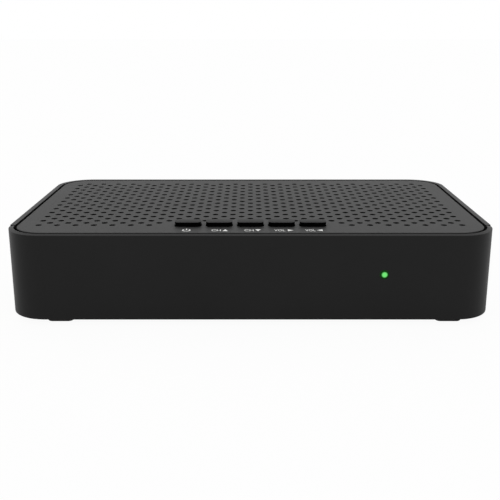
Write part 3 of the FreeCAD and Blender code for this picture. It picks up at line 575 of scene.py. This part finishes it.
@dataclass(frozen=True)
class BlankLabel:
    """Silver-grey polyester film with a printed frame and nothing in it."""

    name: str
    low: Triple
    high: Triple
    colour: str = "#C9CBCC"
    frame_colour: str = "#6E7174"
    frame_inset_mm: float = 1.6
    frame_width_mm: float = 0.35
    fleck_mm: float = 0.4

    def material(self) -> Material:
        """Build the material. The frame follows the label's own edges."""
        material, add, point = new_material(self.name)
        half = tuple((b - a) / 2 for a, b in zip(self.low, self.high))
        local = add("VectorMath", {"operation": "SUBTRACT"}, i0=point, i1=middle_of(self.low, self.high))
        size = add("VectorMath", {"operation": "ABSOLUTE"}, i0=local)
        spare = add("VectorMath", {"operation": "SUBTRACT"}, i0=half, i1=size)
        sides = add("SeparateXYZ", Vector=spare)
        edge = add("Math", {"operation": "MINIMUM"}, i0=sides.outputs["X"], i1=sides.outputs["Y"])
        line = add("Math", {"operation": "COMPARE"}, i0=edge, i1=self.frame_inset_mm * MM,
                   i2=self.frame_width_mm * MM / 2)
        brushed = add("VectorMath", {"operation": "MULTIPLY"}, i0=point, i1=Across.ALONG_X.value)
        fleck = add("TexNoise", Vector=brushed, Scale=per_metre(self.fleck_mm))
        film = tinted(add, self.colour, fleck.outputs["Fac"], 0.05)
        colour = add("Mix", {"data_type": "RGBA"}, i0=line, i6=film, i7=linear(self.frame_colour))
        shader = add("BsdfPrincipled", Base_Color=colour, Metallic=0.35, Roughness=0.42)
        add("OutputMaterial", Surface=shader)
        return material


@dataclass(frozen=True)
class ShrinkSleeve:
    """A capacitor: a shrunk sleeve with a pale stripe down its negative side, and a bare aluminium top."""

    name: str
    colour: str = "#1A2238"
    stripe_colour: str = "#A9B0BC"
    top_colour: str = "#C4C6C8"
    grain_mm: float = 0.8
    stripe_cosine: float = 0.9
    top_cosine: float = 0.95

    def material(self) -> Material:
        """Build the material, from the way each face looks in the object's own axes."""
        material, add, point = new_material(self.name)
        parts = add("SeparateXYZ", Vector=add("TexCoord").outputs["Normal"])
        stripe = add("Math", {"operation": "GREATER_THAN"}, i0=parts.outputs["X"], i1=self.stripe_cosine)
        top = add("Math", {"operation": "GREATER_THAN"}, i0=parts.outputs["Z"], i1=self.top_cosine)
        grain = add("TexNoise", Vector=point, Scale=per_metre(self.grain_mm))
        sleeve = tinted(add, self.colour, grain.outputs["Fac"], 0.12)
        striped = add("Mix", {"data_type": "RGBA"}, i0=stripe, i6=sleeve, i7=linear(self.stripe_colour))
        colour = add("Mix", {"data_type": "RGBA"}, i0=top, i6=striped, i7=linear(self.top_colour))
        shader = add("BsdfPrincipled", Base_Color=colour, Metallic=top, Roughness=0.32)
        add("OutputMaterial", Surface=shader)
        return material


@dataclass(frozen=True)
class RibbonFilm:
    """Flat cable: tinned conductors side by side, laminated between two clear films."""

    name: str
    colour: str = "#D8DADC"
    wire_colour: str = "#8E9396"
    pitch_mm: float = 1.0
    wire_height_mm: float = 0.05

    def material(self) -> Material:
        """Build the material. The conductors run along Y and Z, side by side across X."""
        material, add, point = new_material(self.name)
        wave = add("TexWave", {"bands_direction": "X"}, Vector=point, Scale=bands_per_metre(self.pitch_mm))
        wires = add("MapRange", Value=wave.outputs["Fac"], From_Min=0.4, From_Max=0.6)
        colour = add("Mix", {"data_type": "RGBA"}, i0=wires, i6=linear(self.colour),
                     i7=linear(self.wire_colour))
        bump = add("Bump", Height=wires, Strength=0.4, Distance=self.wire_height_mm * MM)
        shader = add("BsdfPrincipled", Base_Color=colour, Roughness=0.3, Normal=bump)
        add("OutputMaterial", Surface=shader)
        return material


@dataclass(frozen=True)
class PrintedInk:
    """Pad-printed ink: opaque, matt and a little uneven."""

    name: str
    colour: str
    roughness: float = 0.6
    cover_mm: float = 0.4

    def material(self) -> Material:
        """Build the material."""
        material, add, point = new_material(self.name)
        cover = add("TexNoise", Vector=point, Scale=per_metre(self.cover_mm), Detail=2.0)
        colour = tinted(add, self.colour, cover.outputs["Fac"], 0.06)
        shader = add("BsdfPrincipled", Base_Color=colour, Roughness=self.roughness, Specular_IOR_Level=0.2)
        add("OutputMaterial", Surface=shader)
        return material


# ------------ pieces
class Pointing(Enum):
    """Which way a printed triangle points on the lid, as an angle from straight back in degrees."""

    BACK = 0.0
    RIGHT = -90.0
    FRONT = 180.0
    LEFT = 90.0


@dataclass(frozen=True)
class Legend:
    """One printed legend: its letters' middle and width, and its triangle's middle and way."""

    word: str
    word_x: float
    word_width: float
    arrow_x: float
    arrow: Pointing


@dataclass
class KeyLegends:
    """The white marks on the lid in front of the keys."""

    ink: Material
    setback_from_keys: float = 7.55
    letter_height: float = 2.5
    thickness: float = 0.03
    sunk: float = 0.005
    triangle_width: float = 1.95
    triangle_height: float = 2.4
    letter_weight: float = 0.005
    power_x: float = -22.1
    power_radius: float = 1.25
    power_line: float = 0.43
    power_opening_deg: float = 80.0
    power_stroke: tuple[float, float] = (0.45, 1.95)
    ring_steps: int = 40
    legends: tuple[Legend, ...] = (
        Legend("CH", -11.8, 3.25, -8.7, Pointing.BACK),
        Legend("CH", -0.5, 3.25, 2.6, Pointing.FRONT),
        Legend("VOL", 10.05, 3.8, 13.85, Pointing.RIGHT),
        Legend("VOL", 20.65, 3.55, 23.9, Pointing.LEFT),
    )

    def __post_init__(self) -> None:
        """Find the row and the lid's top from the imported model."""
        self.row_y = middle_of(*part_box("key_power"))[1] - self.setback_from_keys * MM
        self.lid_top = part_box("top_cover")[1][2] - self.sunk * MM

    def word(self, legend: Legend) -> Object:
        """Set a word in type, as wide and as tall as it is printed."""
        return set_type(legend.word, (legend.word_x * MM, self.row_y, self.lid_top), legend.word_width,
                        self.letter_height, self.thickness, (0.0, 0.0, 0.0), self.letter_weight)

    def printed(self, piece: Object) -> Object:
        """Make a flat mark a thin closed solid that stands on its plane, and give it back."""
        apply_modifier(piece, "SOLIDIFY", thickness=self.thickness * MM, offset=0.0)
        piece.location[2] += self.thickness * MM / 2
        settle(piece)
        merge_and_face_out(piece)
        return piece

    def triangle(self, legend: Legend) -> Object:
        """Draw a printed triangle. Whichever way it points, it is as wide and as tall on the lid.

        Args:
            legend: The legend that it belongs to.

        Returns:
            The triangle as a thin closed solid.
        """
        half_w, half_h = self.triangle_width * MM / 2, self.triangle_height * MM / 2
        if legend.arrow in (Pointing.RIGHT, Pointing.LEFT):
            half_w, half_h = half_h, half_w
        corners = [(-half_w, -half_h, 0.0), (half_w, -half_h, 0.0), (0.0, half_h, 0.0)]
        piece = chain("triangle", corners)
        edit_all(piece)
        bpy.ops.mesh.edge_face_add()
        piece.rotation_euler[2] = math.radians(legend.arrow.value)
        piece.location = (legend.arrow_x * MM, self.row_y, self.lid_top)
        return self.printed(piece)

    def power_mark(self) -> list[Object]:
        """Draw the power mark: an open ring, and a stroke in its opening.

        Returns:
            The ring and the stroke.
        """
        opening = math.radians(self.power_opening_deg)
        start = math.pi / 2 - opening / 2
        middle = (self.power_x * MM, self.row_y, self.lid_top)
        radii = (self.power_radius - self.power_line / 2, self.power_radius + self.power_line / 2)
        ends = [(middle[0] + r * MM * math.cos(start), middle[1] + r * MM * math.sin(start), middle[2])
                for r in radii]
        ring = chain("ring", ends)
        edit_all(ring)
        bpy.ops.mesh.spin(steps=self.ring_steps, angle=math.tau - opening, center=middle,
                          axis=(0.0, 0.0, 1.0))
        merge_and_face_out(ring)
        half = self.power_line * MM / 2
        near, far = (middle[1] + reach * MM for reach in self.power_stroke)
        stroke = chain("stroke", [(middle[0] + side, near, middle[2]) for side in (-half, half)])
        edit_all(stroke)
        bpy.ops.mesh.extrude_region_move(TRANSFORM_OT_translate={"value": (0.0, far - near, 0.0)})
        return [self.printed(ring), self.printed(stroke)]

    def build(self) -> None:
        """Print all the legends."""
        hand_over(joined("legend_power", self.power_mark()), "case", self.ink)
        names = ("channel_up", "channel_down", "volume_up", "volume_down")
        for name, legend in zip(names, self.legends):
            whole = joined(f"legend_{name}", [self.word(legend), self.triangle(legend)])
            hand_over(whole, "case", self.ink)


@dataclass
class AerialSocket:
    """A screw-on aerial socket with a real thread, in place of the plain one.

    Half the width of the thread's ridge, at its foot and crest, is a share of the pitch.
    """

    node: str
    plate: Material
    root_radius: float = 4.95
    core_radius: float = 4.3
    crest_radius: float = 4.76
    bore_radius: float = 3.4
    pitch: float = 25.4 / 32
    hex_reach: float = 11.0 / math.sqrt(3)
    hex_length: float = 2.6
    hex_bore: float = 4.5
    washer_and_nut: float = 2.5
    hex_chamfer: float = 0.3
    tip_chamfer: float = 0.4
    mouth_chamfer: float = 0.15
    thread_lead: float = 0.5
    ridge_foot: float = 0.42
    ridge_crest: float = 0.06
    ridge_depth: float = 0.06
    barrel_steps: int = 64
    thread_steps: int = 48

    def __post_init__(self) -> None:
        """Find the socket's axis, its ends and the panel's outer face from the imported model."""
        low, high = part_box(self.node)
        x, _, z = middle_of(low, high)
        self.axis = (x, low[1], z)
        self.length = (high[1] - low[1]) / MM
        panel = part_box("rear_panel")[1][1]
        self.root_length = (panel - low[1]) / MM + self.washer_and_nut

    def barrel(self) -> Object:
        """Turn the barrel: a plain root through the panel, the thread's core and a chamfered mouth."""
        tip, root = self.length, self.root_length
        profile = [(self.bore_radius, 0.0), (self.root_radius, 0.0), (self.root_radius, root),
                   (self.core_radius, root), (self.core_radius, tip - self.tip_chamfer),
                   (self.core_radius - self.tip_chamfer, tip), (self.bore_radius + self.mouth_chamfer, tip),
                   (self.bore_radius, tip - self.mouth_chamfer)]
        return lathe("barrel", profile, self.axis, self.barrel_steps)

    def shoulder(self) -> Object:
        """Turn the hexagonal shoulder, in six steps."""
        profile = [(self.hex_bore, 0.0), (self.hex_reach - self.hex_chamfer, 0.0),
                   (self.hex_reach, self.hex_chamfer), (self.hex_reach, self.hex_length),
                   (self.hex_bore, self.hex_length)]
        return lathe("shoulder", profile, self.axis, 6)

    def thread(self) -> Object:
        """Wind the thread's ridge round the core.

        Returns:
            The ridge, closed at both ends.
        """
        root = self.core_radius - self.ridge_depth
        profile = [(root, -self.ridge_foot), (self.crest_radius, -self.ridge_crest),
                   (self.crest_radius, self.ridge_crest), (root, self.ridge_foot)]
        ridge = [(radius * MM, share * self.pitch * MM, 0.0) for radius, share in profile]
        piece = chain("thread", ridge + ridge[:1])
        edit_all(piece, merge=True)
        turns = int((self.length - self.root_length - self.tip_chamfer - self.thread_lead) / self.pitch)
        apply_modifier(piece, "SCREW", axis="Y", angle=math.tau, screw_offset=self.pitch * MM,
                       iterations=turns, steps=self.thread_steps, render_steps=self.thread_steps,
                       use_smooth_shade=False)
        edit_all(piece, merge=True)
        bpy.ops.mesh.fill_holes(sides=4)
        x, y, z = self.axis
        piece.location = (x, y + (self.root_length + self.thread_lead) * MM, z)
        settle(piece)
        merge_and_face_out(piece)
        return piece

    def build(self) -> None:
        """Build the socket in place of its plain node."""
        whole = joined(f"{self.node}_threaded", [self.barrel(), self.shoulder(), self.thread()])
        smooth(whole)
        hand_over(whole, "case", self.plate)
        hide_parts(self.node)


@dataclass
class KeyCap:
    """One key: a grained top like the lid's, and polished sides painted nearly black as shade in the gap."""

    node: str
    top: Material
    sides: Material
    flange: float = 0.5
    flange_thickness: float = 0.9
    corner_radius: float = 1.6
    edge_radius: float = 0.3
    crown: float = 0.05
    top_band: float = 0.3
    smooth_deg: float = 50.0

    def outline(self, name: str, low: Vector, high: Vector, radius: float) -> Object:
        """Block out a plate with rounded upright edges.

        Args:
            name: The piece's name.
            low: Its lowest corner, in metres.
            high: Its highest corner, in metres.
            radius: The radius of its upright edges, in millimetres.

        Returns:
            The plate.
        """
        deselect_all()
        bpy.ops.mesh.primitive_cube_add(size=1.0, location=(low + high) / 2, scale=high - low)
        piece = bpy.context.object
        piece.name = name
        settle(piece)
        select_in_edit(piece, lambda way: abs(way.z) > (high.z - low.z) / 2, "EDGE")
        bpy.ops.mesh.bevel(offset=radius * MM, segments=6, affect="EDGES")
        return piece

    def build(self) -> None:
        """Model the key in place of its plain node, on its own moving body."""
        low, high = (Vector(corner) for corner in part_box(self.node))
        rim, crown = self.flange * MM, self.crown * MM
        cap_low = Vector((low.x + rim, low.y + rim, low.z + self.flange_thickness * MM / 2))
        cap_high = Vector((high.x - rim, high.y - rim, high.z - crown))
        cap = self.outline("cap", cap_low, cap_high, self.corner_radius)
        select_in_edit(cap, lambda centre: centre.z > cap_high.z - MERGE_DISTANCE, "FACE")
        bpy.ops.mesh.inset(thickness=self.edge_radius * MM, depth=crown)
        flange = self.outline("flange", low, Vector((high.x, high.y, low.z + self.flange_thickness * MM)),
                              self.corner_radius + self.flange)
        whole = joined(f"{self.node}_cap", [cap, flange])
        whole.data.materials.clear()
        whole.data.materials.append(self.sides)
        whole.data.materials.append(self.top)
        # Faces other than the top take the sides' copy of the key's plastic, painted darker as shade.
        for face in whole.data.polygons:
            upward = face.normal.z > 0.5 and face.center.z > high.z - self.top_band * MM
            face.material_index = 1 if upward else 0
        smooth(whole, self.smooth_deg)
        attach(whole, self.node)
        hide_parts(self.node)
        LOG.info("%s: %d faces on %s", whole.name, len(whole.data.polygons), self.node)


@dataclass
class RearMarks:
    """Small generic words printed over the sockets on the rear panel."""

    ink: Material
    letter_height: float = 1.5
    letter_spacing: float = 1.2
    thickness: float = 0.03
    sunk: float = 0.005
    above_base: float = 25.2
    words: tuple[tuple[str, str], ...] = (
        ("satellite_in_socket", "IN"), ("satellite_loop_socket", "OUT"), ("digital_video_socket", "VIDEO"),
        ("network_socket", "LAN"), ("data_socket", "DATA"), ("coaxial_audio_socket", "AUDIO"),
        ("av_jack", "AV"), ("power_jack", "12V"),
    )

    def build(self) -> None:
        """Print a word over each socket."""
        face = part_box("rear_panel")[1][1] - self.sunk * MM
        marks = []
        for node, word in self.words:
            place = (middle_of(*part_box(node))[0], face, self.above_base * MM)
            marks.append(set_type(word, place, None, self.letter_height, self.thickness,
                                  (math.pi / 2, 0.0, math.pi), spacing=self.letter_spacing))
        hand_over(joined("rear_marks", marks), "case", self.ink)


@dataclass
class ChipLegs:
    """The two rows of bent legs of each memory chip."""

    plate: Material
    pitch: float = 0.8
    count: int = 10
    width: float = 0.32
    metal: float = 0.12
    root: float = -0.1
    shoulder: float = 0.3
    ankle: float = 0.45
    reach: float = 0.9
    stand: float = 0.6
    chip_gap: float = 5.0

    def row(self, edge_x: float, middle_y: float, board: float, side: int) -> Object:
        """Bend one leg and repeat it along the chip.

        Args:
            edge_x: The chip's edge, in metres.
            middle_y: The chip's middle, in metres.
            board: The board's top, in metres.
            side: 1 for the right edge and -1 for the left.

        Returns:
            The row of legs.
        """
        first = middle_y - (self.count - 1) / 2 * self.pitch * MM - self.width * MM / 2
        bends = [(self.root, self.stand), (self.shoulder, self.stand), (self.ankle, self.metal / 2),
                 (self.reach, self.metal / 2)]
        points = [(edge_x + side * along * MM, first, board + up * MM) for along, up in bends]
        piece = chain("legs", points)
        edit_all(piece)
        bpy.ops.mesh.extrude_region_move(TRANSFORM_OT_translate={"value": (0.0, self.width * MM, 0.0)})
        apply_modifier(piece, "SOLIDIFY", thickness=self.metal * MM, offset=0.0)
        apply_modifier(piece, "ARRAY", count=self.count, use_relative_offset=False,
                       use_constant_offset=True, constant_offset_displace=(0.0, self.pitch * MM, 0.0))
        merge_and_face_out(piece)
        return piece

    def build(self) -> None:
        """Add the legs of both chips."""
        low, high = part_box("memory_chips")
        board = low[2]
        depth = (high[1] - low[1] - self.chip_gap * MM) / 2
        rows = []
        for middle_y in (low[1] + depth / 2, high[1] - depth / 2):
            rows += [self.row(low[0], middle_y, board, -1), self.row(high[0], middle_y, board, 1)]
        hand_over(joined("memory_legs", rows), "case", self.plate)


# ------------ the studio
@dataclass
class Studio:
    """A pale floor, a white surround and the camera. Lengths are millimetres."""

    camera_x: float = -0.16
    camera_height: float = 100.5
    camera_back: float = 310.91
    pitch_deg: float = 15.87
    lens: float = 56.81
    floor_size: float = 12000.0
    floor_glow: float = 0.95
    light_table_glow: float = 0.2
    paper: float = 0.9
    paper_spread: float = 0.01
    tooth_mm: float = 3.0
    surround: float = 1.0
    side_flags: float = 0.45
    flags_from: float = 0.45
    flags_to: float = 0.95

    def build_camera(self) -> None:
        """Place the camera in front of the object, a little above it."""
        data = bpy.data.cameras.new("camera")
        data.sensor_width = 36.0
        data.lens = self.lens
        data.clip_start = 0.01
        camera = bpy.data.objects.new("camera", data)
        camera.location = (self.camera_x * MM, -self.camera_back * MM, self.camera_height * MM)
        camera.rotation_euler = (math.radians(90.0 - self.pitch_deg), 0.0, 0.0)
        bpy.context.scene.collection.objects.link(camera)
        bpy.context.scene.camera = camera

    def build_floor(self) -> None:
        """Add the floor: white paper with a soft shadow, lit a little from below as on a light table."""
        deselect_all()
        bpy.ops.mesh.primitive_plane_add(size=self.floor_size * MM, location=(0.0, 0.0, 0.0))
        floor = bpy.context.object
        floor.name = "floor"
        material, add, point = new_material("pale floor paper")
        tooth = add("TexNoise", Vector=point, Scale=per_metre(self.tooth_mm))
        shade = add("MapRange", Value=tooth.outputs["Fac"], To_Min=self.paper - self.paper_spread,
                    To_Max=self.paper + self.paper_spread)
        paper = add("BsdfDiffuse", Color=shade)
        glow = add("Emission", Color=(1.0, 1.0, 1.0, 1.0), Strength=1.0)
        path = add("LightPath")
        seen = add("MapRange", Value=path.outputs["Is Camera Ray"], To_Min=self.light_table_glow,
                   To_Max=self.floor_glow)
        mix = add("MixShader", i0=seen, i1=paper, i2=glow)
        add("OutputMaterial", Surface=mix)
        floor.data.materials.append(material)

    def build_world(self) -> None:
        """Surround the object with soft white light, with dimmer flags at its two sides."""
        world = bpy.data.worlds.new("surround")
        world.use_nodes = True
        world.node_tree.nodes.clear()
        add = partial(add_node, world.node_tree)
        way = add("SeparateXYZ", Vector=add("TexCoord").outputs["Generated"])
        side = add("Math", {"operation": "ABSOLUTE"}, i0=way.outputs["X"])
        flags = add("MapRange", {"interpolation_type": "SMOOTHSTEP"}, Value=side, From_Min=self.flags_from,
                    From_Max=self.flags_to, To_Min=self.surround, To_Max=self.surround * self.side_flags)
        path = add("LightPath")
        seen = add("Math", {"operation": "MAXIMUM"}, i0=path.outputs["Is Camera Ray"], i1=flags)
        even = add("Background", Color=(1.0, 1.0, 1.0, 1.0), Strength=seen)
        add("OutputWorld", Surface=even)
        bpy.context.scene.world = world

    def build(self) -> None:
        """Build the whole studio."""
        self.build_camera()
        self.build_floor()
        self.build_world()
        bpy.context.scene.view_settings.view_transform = "Standard"


def finishes() -> dict[str, Material]:
    """Make a finish for each material slot of the record.

    Returns:
        The materials by slot name.
    """
    off_axis = 0.09 * MM  # the glow sits a little right of the pipe's axis and below it
    x, y, z = middle_of(*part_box("light_pipe"))
    label_low, label_high = (tuple(corner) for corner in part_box("rating_label"))
    made = {
        "case_plastic": MouldedPlastic("satin black ABS case", "#1A1A1A", roughness=0.42, specular=0.13),
        "panel_plastic": MouldedPlastic("satin black ABS front", "#1B1B1B", roughness=0.42, specular=0.13),
        # The lid is the case's black plastic: its colour is painted lighter as sheen from above, and its
        # upright walls keep only 3% of it as painted shade.
        "lid_plastic": MouldedPlastic("grained black ABS lid with painted sheen and shade", "#323232", roughness=0.55, specular=0.2,
                                      grain_height_mm=0.006, painted_shade_wall_share=0.03),
        # The keys' sides: the key top's plastic, painted nearly black and given less specular, as shade.
        "key_plastic": MouldedPlastic("black ABS key side with painted shade", "#020202", roughness=0.2, specular=0.03,
                                      grain_height_mm=0.001),
        "rear_steel": PowderCoat("black powder coat on steel", "#1C1C1D"),
        "switch_plastic": MouldedPlastic("black nylon switch", "#1A1A1A", roughness=0.5, specular=0.4),
        "plunger_plastic": MouldedPlastic("brown nylon plunger", "#4A3A2C", roughness=0.45, specular=0.4),
        "spring_steel": PlatedMetal("bright spring steel", "#C9C9C6", roughness=0.22),
        "circuit_board": SolderMask("green solder mask"),
        "screw_steel": PlatedMetal("zinc plated steel", "#A9ABAE", roughness=0.34),
        "clear_light_plastic": GlowingPlastic("lit clear acrylic", (x + off_axis, y, z - off_axis)),
        "light_emitter": GlowingPlastic("green diffused epoxy", middle_of(*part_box("status_light")),
                                        core_colour="#8CF08C", rim_colour="#2E9A3C", core_radius_mm=0.5,
                                        rim_radius_mm=1.6),
        "eye_plastic": MouldedPlastic("infrared epoxy", "#140C12", roughness=0.15, specular=0.5,
                                      grain_height_mm=0.0005),
        "socket_plastic": MouldedPlastic("glass-filled black nylon", "#1A1A1B", roughness=0.5, specular=0.35),
        "ribbon_film": RibbonFilm("flat cable film"),
        "insulator_plastic": MouldedPlastic("natural white PTFE", "#DAD8D0", roughness=0.35, specular=0.45),
        "contact_brass": PlatedMetal("gold plated brass", "#D8A948", roughness=0.2),
        "plated_steel": PlatedMetal("nickel plated steel", "#BDBBB5", roughness=0.26, lines=Across.ALONG_Y,
                                    stain_share=0.05),
        "plated_brass": PlatedMetal("nickel plated brass", "#C2BFB6", roughness=0.22, stain_share=0.05),
        "coaxial_shell": MouldedPlastic("orange ABS", "#D9661A", roughness=0.32, specular=0.5),
        "tinned_steel": PlatedMetal("hot tinned steel", "#ABAEAF", roughness=0.3, lines=Across.ALONG_X,
                                    stain_share=0.06),
        "jack_plastic": MouldedPlastic("black PBT jack", "#161616", roughness=0.45, specular=0.4),
        "reader_plastic": MouldedPlastic("dark grey glass-filled nylon", "#2B2B2D", roughness=0.5,
                                         specular=0.35),
        "chip_plastic": MouldedPlastic("moulded epoxy chip", "#202022", roughness=0.55, specular=0.4,
                                       grain_mm=0.2, grain_height_mm=0.008),
        "pad_rubber": FoamedRubber("silicone pad", "#8A93A6", "#A7AFBF", 0.3),
        "sink_aluminium": PlatedMetal("black anodised aluminium", "#2B2B2D", roughness=0.42, metallic=0.7,
                                      lines=Across.ALONG_Y, line_mm=0.3, line_height_mm=0.01),
        "capacitor_sleeve": ShrinkSleeve("capacitor sleeve"),
        "inductor_body": MouldedPlastic("pressed iron powder", "#39393A", roughness=0.7, specular=0.4,
                                        grain_mm=0.25, grain_height_mm=0.02, cloud_share=0.15),
        "label_film": BlankLabel("blank label film", label_low, label_high),
        "foot_rubber": FoamedRubber("black rubber foot"),
        "legend_ink": PrintedInk("white legend ink", "#F2F2F0"),
    }
    return {slot: finish.material() for slot, finish in made.items()}


def main() -> None:
    """Dress the receiver, add its finer pieces and build the studio round it."""
    logging.basicConfig(level=logging.INFO, format="%(message)s")
    made = finishes()
    for row in frame["record"]["subparts"]:
        dress(row["node"], made[row["material_slot"]])
    # The keys' top. Their sides take key_plastic, a copy of this plastic painted darker as shade.
    key_top = MouldedPlastic("grained black ABS key top", "#101010", roughness=0.5, specular=0.1).material()
    KeyLegends(made["legend_ink"]).build()
    for key in ("power", "channel_up", "channel_down", "volume_up", "volume_down"):
        KeyCap(f"key_{key}", key_top, made["key_plastic"]).build()
    for node in ("satellite_in_socket", "satellite_loop_socket"):
        AerialSocket(node, made["plated_brass"]).build()
    RearMarks(made["legend_ink"]).build()
    ChipLegs(made["tinned_steel"]).build()
    Studio().build()
    LOG.info("the receiver is dressed")


if __name__ == "__main__":
    main()
